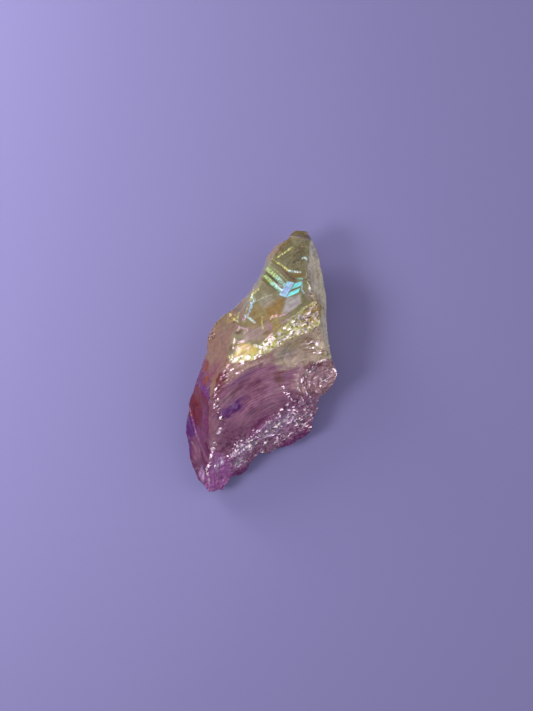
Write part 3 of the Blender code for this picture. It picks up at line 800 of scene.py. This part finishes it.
@dataclass
class StoneSkin:
    """The coloured surface of the stone: one weight or colour for each vertex.

    side_finish is the finish of the sides and the under side. A pair that ends in
    rise bounds a fade by the height of the normal, which is 0 where the surface is
    upright and 1 where it faces up. The gaps in a bright colour start from gap_base,
    follow the fine breaks by gap_contrast and leave at least gap_floor of it.
    film_cover is how much of the quartz's clearness a bright colour covers.
    """

    places: np.ndarray
    normals: np.ndarray
    side_finish: tuple[float, ...] = (0.2, 0.3, 0.04, 0.2)
    grain_turn: float = 50.0
    cluster_edge: tuple[float, float] = (-0.35, 0.1)
    pattern_edge: float = 0.3
    zone_rise: tuple[float, float] = (0.02, 0.3)
    detail_rise: tuple[float, float] = (-0.1, 0.15)
    low_side_rise: tuple[float, float] = (0.1, 0.5)
    low_side_end: tuple[float, float] = (-8.0, -2.0)
    low_side_share: float = 0.95
    bundle_edge: tuple[float, float] = (0.05, 0.45)
    bundle_share: float = 0.8
    blot_streaks: float = 0.9
    stroke_gaps: float = 0.9
    gap_base: float = 0.35
    gap_contrast: float = 1.2
    gap_floor: float = 0.1
    film_cover: float = 0.8
    crest_chips: float = 0.8

    def __post_init__(self) -> None:
        """Starts with the plain colour and finish of the sides, everywhere."""
        self.wander = WANDER.at(self.places)
        self.break_up = BREAK_UP.at(self.places)
        self.clusters = smooth(*self.cluster_edge, CLUSTERS.at(self.places))
        stops = [stop for stop, _ in SIDE_TINTS]
        tints = np.array([linear(tint.value) for _, tint in SIDE_TINTS])
        along = self.places[:, 1] + DRIFT.at(self.places)
        self.colour = np.stack([np.interp(along, stops, tints[:, i]) for i in range(3)], 1)
        for name, value in zip(FINISHES, self.side_finish):
            setattr(self, name, np.full(len(self.places), value))
        # Without ripples, the flow lines run along the grain of the lower stone.
        along, across = turned(self.places, FANS[0].centre, self.grain_turn)
        self.flow = np.stack([across, along, self.places[:, 2]], 1)
        # Edges of zones and patches wander by about a third of a millimetre.
        self.swayed = self.places.copy()
        self.swayed[:, :2] += np.stack([sway.at(self.places) for sway in SWAYS], 1)

    def lay(self, weight: np.ndarray, tint: Tint) -> None:
        """Lays a colour over what is there.

        Args:
            weight: How much of the new colour shows at each vertex, from 0 to 1.
            tint: The new colour.
        """
        share = weight[:, None]
        self.colour = self.colour * (1.0 - share) + share * np.array(linear(tint.value))

    def run_flow_lines(self) -> None:
        """Points the flow lines across the ripples and growth lines of each fracture."""
        for pattern in FANS + COMBS:
            weight, across, along = pattern.reach(self.places)
            inside = weight > self.pattern_edge
            self.flow[inside, 0] = across[inside]
            self.flow[inside, 1] = along[inside]
            self.flow[inside, 2] = 0.0

    def lay_zones(self) -> None:
        """Colours each face and fracture that is seen from above, and the root's sides."""
        facing_up = smooth(*self.zone_rise, self.normals[:, 2])
        for zone in ZONES:
            weight = zone.weight(self.swayed) * facing_up
            self.lay(weight * zone.strength, zone.tint)
            for name in FINISHES:
                mixed = getattr(self, name) * (1.0 - weight) + weight * getattr(zone, name)
                setattr(self, name, mixed)
        low_side = 1.0 - smooth(*self.low_side_rise, self.normals[:, 2])
        low_side *= 1.0 - smooth(*self.low_side_end, self.places[:, 1])
        self.lay(self.low_side_share * low_side, Tint.MAGENTA)
        self.glints *= 1.0 - self.low_side_share * low_side

    def lay_details(self) -> None:
        """Adds the patches, small facets, growth steps, cracks and bright rims; the colours
        the film mirrors are painted reflections, and the white rims painted highlights.
        """
        facing_up = smooth(*self.detail_rise, self.normals[:, 2])
        # The growth steps are notched across.
        self.break_up += NOTCHES.at(self.flow)
        flow_streaks = FLOW_STREAKS.at(self.flow)
        bundles = smooth(*self.bundle_edge, BUNDLES.at(self.flow))
        self.lay(self.bundle_share * bundles * facing_up * self.streaks, Tint.PINK_TAN)
        for blot in BLOTS:
            shape = blot.weight(self.swayed) * facing_up
            streaked = shape * blot.strength * (1.0 + self.blot_streaks * flow_streaks)
            self.lay(np.clip(streaked, 0.0, 1.0), blot.tint)
            self.glints = np.maximum(self.glints, shape * blot.glints)
        for facet in FACETS:
            weight = facet.weight(self.places) * facing_up * facet.strength
            self.lay_bright(weight, facet.tint, facet.gaps)
        for stroke in STROKES:
            weight = stroke.weight(self.places) * facing_up * stroke.strength
            self.lay_bright(weight, stroke.tint, self.stroke_gaps)
        clouds = sum(cloud.at(self.places) for cloud in CLOUDS)
        self.colour = np.clip(self.colour * (1.0 + clouds[:, None]), 0.0, 1.0)

    def lay_bright(self, weight: np.ndarray, tint: Tint, gaps: float) -> None:
        """Lays a colour broken up by the roughness of its face: a painted reflection of the
        film on facets, growth steps and cracks, a painted highlight in white lines, painted
        shade in the dark lines between the steps, and elsewhere the stone's own colour.

        Args:
            weight: How much of the new colour shows at each vertex, from 0 to 1.
            tint: The new colour.
            gaps: How much of it the roughness takes away, from 0 to 1.
        """
        taken = gaps * (self.gap_base - self.gap_contrast * self.break_up)
        share = weight * np.clip(1.0 - taken, self.gap_floor, 1.0)
        self.lay(share, tint)
        self.clarity *= 1.0 - self.film_cover * share

    def chip_crests(self) -> None:
        """Breaks the crests that the stone was knocked on, and lets some of their chips flash with
        a painted highlight.
        """
        for crest in CHIPPED_CRESTS:
            weight = crest.weight(self.swayed) * self.clusters * (self.normals[:, 2] > 0.0)
            self.chips = np.maximum(self.chips, self.crest_chips * weight)
            self.glints = np.maximum(self.glints, crest.glints * weight)


@dataclass(frozen=True)
class Chips:
    """Broken grain as small flat facets, each with its own tilt.

    size is a facet's width in millimetres, stretch how much longer it is along turn,
    which is in degrees, slope its rise over its width, and step how far neighbours
    stand apart in millimetres. scatter makes neighbours tilt in unlike ways.
    """

    size: float
    stretch: float
    turn: float
    slope: float
    step: float
    seed: float
    scatter: float = 7.31

    def relief(self, places: np.ndarray) -> np.ndarray:
        """Height of the facets over the smooth surface.

        Args:
            places: The points in millimetres, one a row.

        Returns:
            One height in millimetres for each point.
        """
        along, across = turned(places, (0.0, 0.0), self.turn)
        warped = np.stack([along / self.stretch, across, places[:, 2]], 1) / self.size
        warped += self.seed
        heights = np.empty(len(places))
        for i, place in enumerate(warped):
            point = Vector(place)
            middle = noise.voronoi(point)[1][0]
            tilt = noise.cell_vector(middle * self.scatter)
            heights[i] = tilt.dot(point - middle) * self.slope * self.size
            heights[i] += self.step * (tilt.x + tilt.y)
        return heights


@dataclass
class CrystalPoint:
    """The stone: a rounded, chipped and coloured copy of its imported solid.

    sharp_crest is the fold, in degrees, that stays a crisp crest between smooth
    faces, sharp_grain the same where the stone is broken, and sharp_shading the fold
    that is shaded as an edge. downward and upward are heights of a face's normal.
    underside_chips says how broken the under side is, grain_edge how broken counts as
    grain, and chip_edge where chips start and where they are full, of which chip_share
    is raised. merge_distance is in metres, steps_start and floor_height in millimetres.
    """

    name: str = "aura_quartz_point"
    node: str = "crystal"
    body: str = "root"
    slot: str = "aura_quartz"
    merge_distance: float = 1e-6
    sharp_crest: float = 30.0
    sharp_grain: float = 12.0
    sharp_shading: float = 34.0
    rounding_levels: int = 2
    downward: float = -0.3
    upward: float = 0.2
    underside_share: float = 0.3
    underside_chips: float = 0.6
    grain_edge: float = 0.5
    steps_start: float = 6.5
    floor_height: float = 0.05
    chip_edge: tuple[float, float] = (0.1, 0.7)
    chip_share: float = 0.5
    chips: tuple[Chips, ...] = (
        Chips(0.85, 1.7, 52.0, 0.75, 0.05, 3.7),
        Chips(0.45, 1.3, 30.0, 0.55, 0.02, 9.1),
    )

    def build(self) -> bpy.types.Object:
        """Makes the finished piece.

        Returns:
            The stone's object, dressed and riding on its body.
        """
        piece = self.rounded_copy()
        self.lighten_underside(piece)
        self.refine_growth_steps(piece)
        skin = self.painted_skin(piece)
        self.raise_relief(piece, skin)
        self.store(piece, skin)
        self.shade(piece)
        piece.data.materials.clear()
        piece.data.materials.append(VapourCoatedQuartz().material())
        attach(piece, self.body)
        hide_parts(self.node)
        return piece

    def rounded_copy(self) -> bpy.types.Object:
        """Copies the solid's mesh, merges it, and rounds it between its crests.

        Returns:
            The rounded copy, selected and active.
        """
        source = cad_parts[self.node]
        piece = bpy.data.objects.new(self.name, source.data.copy())
        bpy.context.scene.collection.objects.link(piece)
        select_only(piece)
        bpy.ops.mesh.customdata_custom_splitnormals_clear()
        bpy.ops.object.mode_set(mode="EDIT")
        bpy.ops.mesh.select_all(action="SELECT")
        bpy.ops.mesh.remove_doubles(threshold=self.merge_distance)
        bpy.ops.mesh.select_all(action="DESELECT")
        bpy.ops.object.mode_set(mode="OBJECT")
        self.crease(piece)
        rounding = piece.modifiers.new("rounding", "SUBSURF")
        rounding.levels = rounding.render_levels = self.rounding_levels
        bpy.ops.object.modifier_apply(modifier=rounding.name)
        return piece

    def crease(self, piece: bpy.types.Object) -> None:
        """Keeps the crests crisp, and every facet of the broken grain.

        Args:
            piece: The merged copy of the solid.
        """
        mesh = piece.data
        corners = vertex_places(mesh) / MM
        edges = np.empty(len(mesh.edges) * 2, np.int64)
        mesh.edges.foreach_get("vertices", edges)
        ends = edges.reshape(-1, 2)
        middles = corners[ends].mean(axis=1)
        faces_of = {}
        for polygon in mesh.polygons:
            for key in polygon.edge_keys:
                faces_of.setdefault(key, []).append(polygon.normal)
        folds = np.zeros(len(ends))
        up = np.zeros(len(ends))
        for i, (a, b) in enumerate(ends):
            pair = faces_of[(min(a, b), max(a, b))]
            folds[i] = math.degrees(pair[0].angle(pair[-1], 0.0))
            up[i] = (pair[0].z + pair[-1].z) / 2
        broken = np.zeros(len(ends))
        for zone in ZONES:
            weight = zone.weight(middles)
            broken = broken * (1.0 - weight) + weight * zone.chips
        broken[up < 0.0] = self.underside_chips
        limits = np.where(broken > self.grain_edge, self.sharp_grain, self.sharp_crest)
        attribute = mesh.attributes.new("crease_edge", "FLOAT", "EDGE")
        attribute.data.foreach_set("value", (folds > limits).astype(np.float32))

    def lighten_underside(self, piece: bpy.types.Object) -> None:
        """Takes vertices away where the stone faces down, which needs no fine detail.

        Args:
            piece: The rounded stone.
        """
        facing_down = [polygon.normal.z < self.downward for polygon in piece.data.polygons]
        edit_faces(piece, facing_down, bpy.ops.mesh.decimate, ratio=self.underside_share)

    def refine_growth_steps(self, piece: bpy.types.Object) -> None:
        """Divides the main face once more near its growth steps, which are narrow.

        Args:
            piece: The rounded stone.
        """
        polygons = piece.data.polygons
        middles = np.array([polygon.center for polygon in polygons]) / MM
        chosen = Zone(MAIN_FACE, Tint.SMOKY_OLIVE).weight(middles) > 0.5
        chosen &= np.array([polygon.normal.z for polygon in polygons]) > self.upward
        chosen &= middles[:, 1] > self.steps_start
        edit_faces(piece, chosen, bpy.ops.mesh.subdivide, number_cuts=1)

    def painted_skin(self, piece: bpy.types.Object) -> StoneSkin:
        """Works out the colour and finish of every vertex.

        Args:
            piece: The rounded and refined stone.

        Returns:
            The finished skin, one row for each vertex of the stone.
        """
        mesh = piece.data
        normals = np.empty(len(mesh.vertices) * 3, np.float32)
        mesh.vertices.foreach_get("normal", normals)
        skin = StoneSkin(vertex_places(mesh) / MM, normals.reshape(-1, 3).astype(float))
        skin.run_flow_lines()
        skin.lay_zones()
        skin.chip_crests()
        skin.lay_details()
        return skin

    def raise_relief(self, piece: bpy.types.Object, skin: StoneSkin) -> None:
        """Raises the ripples, growth lines and chips along the surface's normals.

        Args:
            piece: The rounded and refined stone.
            skin: Its skin, which says where it is broken.
        """
        lift = SWELL.at(skin.places)
        for pattern in FANS + COMBS:
            lift += pattern.relief(skin.places, skin.wander)
        broken = smooth(*self.chip_edge, skin.chips)
        for chip in self.chips:
            lift += self.chip_share * broken * chip.relief(skin.places)
        lift[skin.places[:, 2] < self.floor_height] = 0.0
        moved = skin.places + lift[:, None] * skin.normals
        low, high = (np.array(corner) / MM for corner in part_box(self.node))
        moved = np.clip(moved, low, high) * MM
        piece.data.vertices.foreach_set("co", moved.astype(np.float32).ravel())
        piece.data.update()

    def store(self, piece: bpy.types.Object, skin: StoneSkin) -> None:
        """Writes the skin to the mesh, where the material reads it.

        Args:
            piece: The stone.
            skin: Its skin.
        """
        rgba = np.concatenate([skin.colour, np.ones((len(skin.colour), 1))], axis=1)
        layers = [
            ("coat_tint", "FLOAT_COLOR", "color", rgba),
            ("flow", "FLOAT_VECTOR", "vector", skin.flow),
        ]
        layers += [(name, "FLOAT", "value", getattr(skin, name)) for name in FINISHES]
        for name, kind, field_name, values in layers:
            layer = piece.data.attributes.new(name, kind, "POINT")
            layer.data.foreach_set(field_name, values.astype(np.float32).ravel())

    def shade(self, piece: bpy.types.Object) -> None:
        """Shades the faces smooth, with crisp edges where they fold."""
        select_only(piece)
        bpy.ops.object.shade_smooth_by_angle(angle=math.radians(self.sharp_shading))


@dataclass(frozen=True)
class VapourCoatedQuartz:
    """Quartz with a metal film grown on it from vapour, glassy and see-through.

    The eye sees clear to milky quartz under a coloured mirror so thin that it is
    gold or violet on the body and blue and green where the light strikes steeply; the
    blue and green are painted into the tint as painted reflections. Where it is broken
    it has small ragged facets, of which some flash, as they face the window:
    flashing_normal is their normal, longer than one so that their own tilt turns them
    less. A flash's pale colour is a painted highlight, and the paler and deeper facets
    between flashes are painted light and shade. Lengths, widths and depths are in
    millimetres.
    """

    ior: float = 1.544
    film_ior: float = 1.65
    film_thickness_nm: float = 330.0
    glassy_roughness: float = 0.15
    broken_roughness: float = 0.26
    glint_width: float = 0.31
    glint_length: float = 0.66
    glint_onset: float = 0.12
    glint_edge: tuple[float, float] = (0.9, 0.6)
    glint_mirror: float = 0.04
    glint_tinge: float = 0.3
    ragged_scale: float = 2.8
    ragged_push: float = 1.6
    painted_facet_shades: tuple[float, float] = (0.45, 1.4)
    facet_tilt: float = 0.6
    streak_width: float = 0.24
    streak_length: float = 4.5
    streak_band: tuple[float, float] = (0.3, 0.7)
    streak_shift: tuple[float, float, float] = (0.75, 1.25, 0.85)
    pore_size: float = 0.16
    pore_depth: float = 0.05
    pore_strength: float = 0.2
    noise_detail: float = 3.0
    flashing_normal: tuple[float, float, float] = (-0.58, -0.29, 1.47)
    # Colours of the painted highlight on a flashing facet.
    cool_painted_glint: str = "#EADCFF"
    warm_painted_glint: str = "#FFF2D6"
    absorbed_colour: str = "#D9B6D2"
    absorption_density: float = 45.0

    def material(self) -> bpy.types.Material:
        """Makes the material.

        Returns:
            A material that reads the skin's layers from the piece's mesh.
        """
        material = bpy.data.materials.new("vapour_coated_quartz")
        material.use_nodes = True
        tree = material.node_tree
        add = partial(add_node, tree)
        shader = tree.nodes["Principled BSDF"]
        layers = {
            name: add("ShaderNodeAttribute", attribute_name=name).outputs
            for name in ("coat_tint", "flow", *FINISHES)
        }
        place = add("ShaderNodeTexCoord").outputs["Object"]
        per_mm = (1 / MM,) * 3
        in_mm = add("ShaderNodeVectorMath", {0: place, 1: per_mm}, operation="MULTIPLY").outputs[0]
        facets = self.facets(tree, layers, in_mm)
        flash = self.flash_share(tree, layers, facets)
        streaked = self.streaked_tint(tree, layers)
        base = self.painted_flash_tint(tree, streaked, flash, facets, layers)
        tree.links.new(base, shader.inputs["Base Color"])
        self.link_surface(tree, shader, layers, flash)
        self.link_normal(tree, shader, layers, facets, flash, in_mm)
        shader.inputs["IOR"].default_value = self.ior
        shader.inputs["Thin Film Thickness"].default_value = self.film_thickness_nm
        shader.inputs["Thin Film IOR"].default_value = self.film_ior
        absorption = add(
            "ShaderNodeVolumeAbsorption",
            {"Color": (*linear(self.absorbed_colour), 1.0), "Density": self.absorption_density},
        )
        output = tree.nodes["Material Output"]
        tree.links.new(absorption.outputs["Volume"], output.inputs["Volume"])
        return material

    def facets(
        self, tree: bpy.types.NodeTree, layers: dict, in_mm: bpy.types.NodeSocket
    ) -> dict[str, bpy.types.NodeSocket]:
        """Divides the surface into small ragged facets, longer along the flow lines.

        Args:
            tree: The material's node tree.
            layers: The outputs of each attribute node, by name.
            in_mm: The place on the stone in millimetres.

        Returns:
            The facets' distance from their middles, their random vector, and its
            three parts as Red, Green and Blue.
        """
        add = partial(add_node, tree)
        ragged = add(
            "ShaderNodeTexNoise",
            {"Vector": in_mm, "Scale": self.ragged_scale, "Detail": self.noise_detail},
        ).outputs["Color"]
        shape = (1 / self.glint_width, 1 / self.glint_length, 1 / self.glint_width)
        along = layers["flow"]["Vector"]
        flow = add("ShaderNodeVectorMath", {0: along, 1: shape}, operation="MULTIPLY")
        push = (self.ragged_push,) * 3
        pushed = add(
            "ShaderNodeVectorMath",
            {0: ragged, 1: push, 2: flow.outputs[0]},
            operation="MULTIPLY_ADD",
        )
        cells = add("ShaderNodeTexVoronoi", {"Vector": pushed.outputs[0], "Scale": 1.0}).outputs
        parts = add("ShaderNodeSeparateColor", {"Color": cells["Color"]}).outputs
        found = {name: parts[name] for name in ("Red", "Green", "Blue")}
        return found | {"Distance": cells["Distance"], "Color": cells["Color"]}

    def flash_share(
        self, tree: bpy.types.NodeTree, layers: dict, facets: dict
    ) -> bpy.types.NodeSocket:
        """Finds the facets that flash, as many as the stone's glints layer asks for.

        Args:
            tree: The material's node tree.
            layers: The outputs of each attribute node, by name.
            facets: The small facets.

        Returns:
            The share of the flash at each place, from 0 to 1.
        """
        add = partial(add_node, tree)
        wanted = {0: layers["glints"]["Fac"], 1: facets["Red"]}
        spare = add("ShaderNodeMath", wanted, operation="SUBTRACT").outputs[0]
        chosen = add("ShaderNodeMapRange", {"Value": spare, 1: 0.0, 2: self.glint_onset})
        rim, core = self.glint_edge
        middle = add("ShaderNodeMapRange", {"Value": facets["Distance"], 1: rim, 2: core})
        both = {0: chosen.outputs[0], 1: middle.outputs[0]}
        return add("ShaderNodeMath", both, operation="MULTIPLY").outputs[0]

    def streaked_tint(self, tree: bpy.types.NodeTree, layers: dict) -> bpy.types.NodeSocket:
        """The coat's tint, paler and deeper along the flow lines.

        Args:
            tree: The material's node tree.
            layers: The outputs of each attribute node, by name.

        Returns:
            The output that holds the colour.
        """
        add = partial(add_node, tree)
        stretch = (1 / self.streak_width, 1 / self.streak_length, 1.0)
        along = {0: layers["flow"]["Vector"], 1: stretch}
        flow = add("ShaderNodeVectorMath", along, operation="MULTIPLY").outputs[0]
        waves = add(
            "ShaderNodeTexNoise", {"Vector": flow, "Scale": 1.0, "Detail": self.noise_detail}
        ).outputs["Fac"]
        low, high = self.streak_band
        centred = add("ShaderNodeMapRange", {"Value": waves, 1: low, 2: high, 3: -1.0, 4: 1.0})
        share = {0: centred.outputs[0], 1: layers["streaks"]["Fac"]}
        amount = add("ShaderNodeMath", share, operation="MULTIPLY").outputs[0]
        # A pale streak is also less violet, so its green rises most.
        shift = {0: self.streak_shift, "Scale": amount}
        shifted = add("ShaderNodeVectorMath", shift, operation="SCALE").outputs[0]
        around_one = {0: shifted, 1: (1.0, 1.0, 1.0)}
        gain = add("ShaderNodeVectorMath", around_one, operation="ADD").outputs[0]
        tint = {0: layers["coat_tint"]["Color"], 1: gain}
        return add("ShaderNodeVectorMath", tint, operation="MULTIPLY").outputs[0]

    def painted_flash_tint(
        self,
        tree: bpy.types.NodeTree,
        base: bpy.types.NodeSocket,
        flash: bpy.types.NodeSocket,
        facets: dict,
        layers: dict,
    ) -> bpy.types.NodeSocket:
        """The colour with a painted highlight on the flashing facets, and painted light and
        shade on the paler and deeper ones between them.

        Args:
            tree: The material's node tree.
            base: The colour under the flashes.
            flash: The share of the flash.
            facets: The small facets.
            layers: The outputs of each attribute node, by name.

        Returns:
            The output that holds the colour.
        """
        add = partial(add_node, tree)
        # Facets between the flashes are painted paler and deeper: painted light and shade.
        deep, pale = self.painted_facet_shades
        shade = add("ShaderNodeMapRange", {"Value": facets["Green"], 3: deep, 4: pale}).outputs[0]
        depth = add("ShaderNodeMix", {"Factor": layers["chips"]["Fac"], "A": 1.0, "B": shade})
        scaled = {0: base, "Scale": depth.outputs[0]}
        shaded = add("ShaderNodeVectorMath", scaled, operation="SCALE").outputs[0]
        # The pale colour of a flash is a painted highlight.
        cool, warm = ((*linear(glint), 1.0) for glint in (self.cool_painted_glint, self.warm_painted_glint))
        hues = {"Factor": facets["Blue"], 6: cool, 7: warm}
        hue = add("ShaderNodeMix", hues, data_type="RGBA").outputs[2]
        # A painted flash keeps a little of the coat's own colour.
        tinge = {"Factor": self.glint_tinge, 6: hue, 7: base}
        tinged = add("ShaderNodeMix", tinge, data_type="RGBA").outputs[2]
        flashes = {"Factor": flash, 6: shaded, 7: tinged}
        return add("ShaderNodeMix", flashes, data_type="RGBA").outputs[2]

    def link_surface(
        self,
        tree: bpy.types.NodeTree,
        shader: bpy.types.Node,
        layers: dict,
        flash: bpy.types.NodeSocket,
    ) -> None:
        """Links the roughness, the mirror of the film and how much light goes through.

        Args:
            tree: The material's node tree.
            shader: The surface's shader.
            layers: The outputs of each attribute node, by name.
            flash: The share of the flash.
        """
        add = partial(add_node, tree)
        finishes = {"A": self.glassy_roughness, "B": self.broken_roughness}
        rough = add("ShaderNodeMix", {"Factor": layers["chips"]["Fac"]} | finishes).outputs[0]
        tree.links.new(rough, shader.inputs["Roughness"])
        mirrored = {0: flash, 1: self.glint_mirror}
        metal = add("ShaderNodeMath", mirrored, operation="MULTIPLY").outputs[0]
        tree.links.new(metal, shader.inputs["Metallic"])
        dull = add("ShaderNodeMath", {0: 1.0, 1: flash}, operation="SUBTRACT").outputs[0]
        clear = {0: layers["clarity"]["Fac"], 1: dull}
        through = add("ShaderNodeMath", clear, operation="MULTIPLY").outputs[0]
        tree.links.new(through, shader.inputs["Transmission Weight"])

    def link_normal(
        self,
        tree: bpy.types.NodeTree,
        shader: bpy.types.Node,
        layers: dict,
        facets: dict,
        flash: bpy.types.NodeSocket,
        in_mm: bpy.types.NodeSocket,
    ) -> None:
        """Tilts each small facet its own way, and roughens what is broken.

        Args:
            tree: The material's node tree.
            shader: The surface's shader.
            layers: The outputs of each attribute node, by name.
            facets: The small facets.
            flash: The share of the flash.
            in_mm: The place on the stone in millimetres.
        """
        add = partial(add_node, tree)
        normal = add("ShaderNodeNewGeometry").outputs["Normal"]
        around_zero = {0: facets["Color"], 1: (0.5, 0.5, 0.5)}
        centred = add("ShaderNodeVectorMath", around_zero, operation="SUBTRACT").outputs[0]
        broken = {0: layers["chips"]["Fac"], 1: self.facet_tilt}
        strength = add("ShaderNodeMath", broken, operation="MULTIPLY").outputs[0]
        scaled = {0: centred, "Scale": strength}
        tilt = add("ShaderNodeVectorMath", scaled, operation="SCALE").outputs[0]
        tilted = add("ShaderNodeVectorMath", {0: normal, 1: tilt}, operation="ADD").outputs[0]
        # The facets that flash are those that happen to face the window.
        to_window = {0: self.flashing_normal, 1: tilt}
        facing = add("ShaderNodeVectorMath", to_window, operation="ADD").outputs[0]
        choice = {"Factor": flash, 4: tilted, 5: facing}
        turned_out = add("ShaderNodeMix", choice, data_type="VECTOR").outputs[1]
        unit = add("ShaderNodeVectorMath", {0: turned_out}, operation="NORMALIZE").outputs[0]
        pores = add(
            "ShaderNodeTexNoise",
            {"Vector": in_mm, "Scale": 1 / self.pore_size, "Detail": self.noise_detail},
        )
        bump = add(
            "ShaderNodeBump",
            {
                "Height": pores.outputs["Fac"],
                "Distance": self.pore_depth * MM,
                "Strength": self.pore_strength,
                "Normal": unit,
            },
        )
        tree.links.new(bump.outputs[0], shader.inputs["Normal"])


@dataclass(frozen=True)
class MattCard:
    """Plain lilac card, pressed matt: a fine tooth takes the shine off.

    The tooth's size and depth are in millimetres.
    """

    colour: str = "#827CAE"
    roughness: float = 0.85
    tooth_size: float = 0.4
    tooth_depth: float = 0.02
    tooth_strength: float = 0.15

    def material(self) -> bpy.types.Material:
        """Makes the material.

        Returns:
            The card's material.
        """
        material = bpy.data.materials.new("matt_lilac_card")
        material.use_nodes = True
        tree = material.node_tree
        add = partial(add_node, tree)
        shader = tree.nodes["Principled BSDF"]
        shader.inputs["Base Color"].default_value = (*linear(self.colour), 1.0)
        shader.inputs["Roughness"].default_value = self.roughness
        place = add("ShaderNodeTexCoord").outputs["Object"]
        tooth = add("ShaderNodeTexNoise", {"Vector": place, "Scale": 1 / (self.tooth_size * MM)})
        bump = add(
            "ShaderNodeBump",
            {
                "Height": tooth.outputs["Fac"],
                "Distance": self.tooth_depth * MM,
                "Strength": self.tooth_strength,
            },
        )
        tree.links.new(bump.outputs[0], shader.inputs["Normal"])
        return material


@dataclass(frozen=True)
class SoftLight:
    """A round soft light that faces the stone.

    bearing is in degrees clockwise from the top of the picture, height in degrees
    above the card, distance and width in metres, and power in watts.
    """

    name: str
    bearing: float
    height: float
    distance: float
    width: float
    power: float

    def hang(self, picture_turn: float) -> None:
        """Adds the light.

        Args:
            picture_turn: How far the picture's top is turned from +Y, in degrees
                anticlockwise.
        """
        turn = math.radians(picture_turn - self.bearing)
        level = math.cos(math.radians(self.height))
        up = math.sin(math.radians(self.height))
        place = self.distance * Vector((-math.sin(turn) * level, math.cos(turn) * level, up))
        bpy.ops.object.light_add(type="AREA", location=place)
        light = bpy.context.active_object
        light.name = self.name
        light.rotation_euler = (-place).to_track_quat("-Z", "Y").to_euler()
        light.data.shape = "DISK"
        light.data.size = self.width
        light.data.energy = self.power


# One broad light for the form, two small windows that the facets flash, and two
# panels that lift the sides away from them.
LIGHTS = (
    SoftLight("key_panel", -56.0, 50.0, 0.80, 1.20, 1.70),
    SoftLight("window", -98.0, 43.0, 0.20, 0.08, 0.20),
    SoftLight("upper_window", -48.0, 25.0, 0.20, 0.08, 0.20),
    SoftLight("right_panel", 80.0, 34.0, 0.60, 0.60, 1.20),
    SoftLight("lower_panel", 150.0, 34.0, 0.70, 0.70, 0.95),
)


@dataclass(frozen=True)
class Studio:
    """The card, the soft lights and the camera straight above the stone.

    The camera is turned so that the stone leans as it lies. field_height is the
    height of the picture at the middle of the stone, stone_level its height there.
    Lengths are in metres, apart from the sensor and look_at, which are in millimetres.
    """

    camera_height: float = 0.180
    stone_level: float = 0.005
    field_height: float = 0.1422
    nearest_view: float = 0.005
    sensor: float = 36.0
    camera_turn: float = 18.2
    look_at: Point = (-1.15, 2.05)
    card_size: float = 3.0
    sky: str = "#D9D6E6"
    sky_strength: float = 0.26

    def build(self) -> bpy.types.Object:
        """Adds the card, the lights and the camera.

        Returns:
            The card.
        """
        card = self.lay_card()
        for light in LIGHTS:
            light.hang(self.camera_turn)
        self.light_room()
        self.place_camera()
        return card

    def lay_card(self) -> bpy.types.Object:
        """Lays the card that the stone rests on.

        Returns:
            The card.
        """
        bpy.ops.object.select_all(action="DESELECT")
        bpy.ops.mesh.primitive_plane_add(size=self.card_size, location=(0.0, 0.0, 0.0))
        card = bpy.context.active_object
        card.name = "lilac_card"
        card.data.materials.append(MattCard().material())
        return card

    def light_room(self) -> None:
        """Fills the room round the lights with a pale sky."""
        world = bpy.data.worlds.new("soft_room")
        world.use_nodes = True
        background = world.node_tree.nodes["Background"]
        background.inputs["Color"].default_value = (*linear(self.sky), 1.0)
        background.inputs["Strength"].default_value = self.sky_strength
        scene = bpy.context.scene
        scene.world = world
        scene.view_settings.view_transform = "Standard"
        scene.view_settings.look = "None"

    def place_camera(self) -> None:
        """Looks straight down from above the stone."""
        bpy.ops.object.camera_add()
        camera = bpy.context.active_object
        camera.name = "overhead_camera"
        middle = Vector((self.look_at[0] * MM, self.look_at[1] * MM, self.camera_height))
        turn = Matrix.Rotation(math.radians(self.camera_turn), 4, "Z")
        camera.matrix_world = Matrix.Translation(middle) @ turn
        camera.data.sensor_width = self.sensor
        reach = self.camera_height - self.stone_level
        camera.data.lens = self.sensor * reach / self.field_height
        camera.data.clip_start = self.nearest_view
        bpy.context.scene.camera = camera


def select_only(piece: bpy.types.Object) -> None:
    """Deselects everything else and makes the piece active.

    Args:
        piece: The piece to select.
    """
    bpy.ops.object.select_all(action="DESELECT")
    piece.select_set(True)
    bpy.context.view_layer.objects.active = piece


def edit_faces(
    piece: bpy.types.Object,
    chosen: Sequence[bool],
    operator: Callable[..., set],
    **settings: float,
) -> None:
    """Runs an operator on chosen faces in edit mode.

    Args:
        piece: The active piece.
        chosen: Which faces to select, one value for each.
        operator: The edit mode operator.
        settings: The operator's own settings.
    """
    piece.data.polygons.foreach_set("select", chosen)
    bpy.ops.object.mode_set(mode="EDIT")
    bpy.ops.mesh.select_mode(type="FACE")
    operator(**settings)
    bpy.ops.mesh.select_all(action="DESELECT")
    bpy.ops.object.mode_set(mode="OBJECT")


def vertex_places(mesh: bpy.types.Mesh) -> np.ndarray:
    """Reads where a mesh's vertices are.

    Args:
        mesh: The mesh.

    Returns:
        The places in metres, one a row.
    """
    places = np.empty(len(mesh.vertices) * 3, np.float32)
    mesh.vertices.foreach_get("co", places)
    return places.reshape(-1, 3).astype(float)


def report(piece: bpy.types.Object) -> None:
    """Logs a finished piece's name and its number of triangles."""
    piece.data.calc_loop_triangles()
    LOG.info("%s: %d triangles", piece.name, len(piece.data.loop_triangles))


def main() -> None:
    """Builds the stone and the studio."""
    logging.basicConfig(level=logging.INFO, format="%(name)s: %(message)s")
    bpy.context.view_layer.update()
    report(Studio().build())
    report(CrystalPoint().build())


if __name__ == "__main__":
    main()
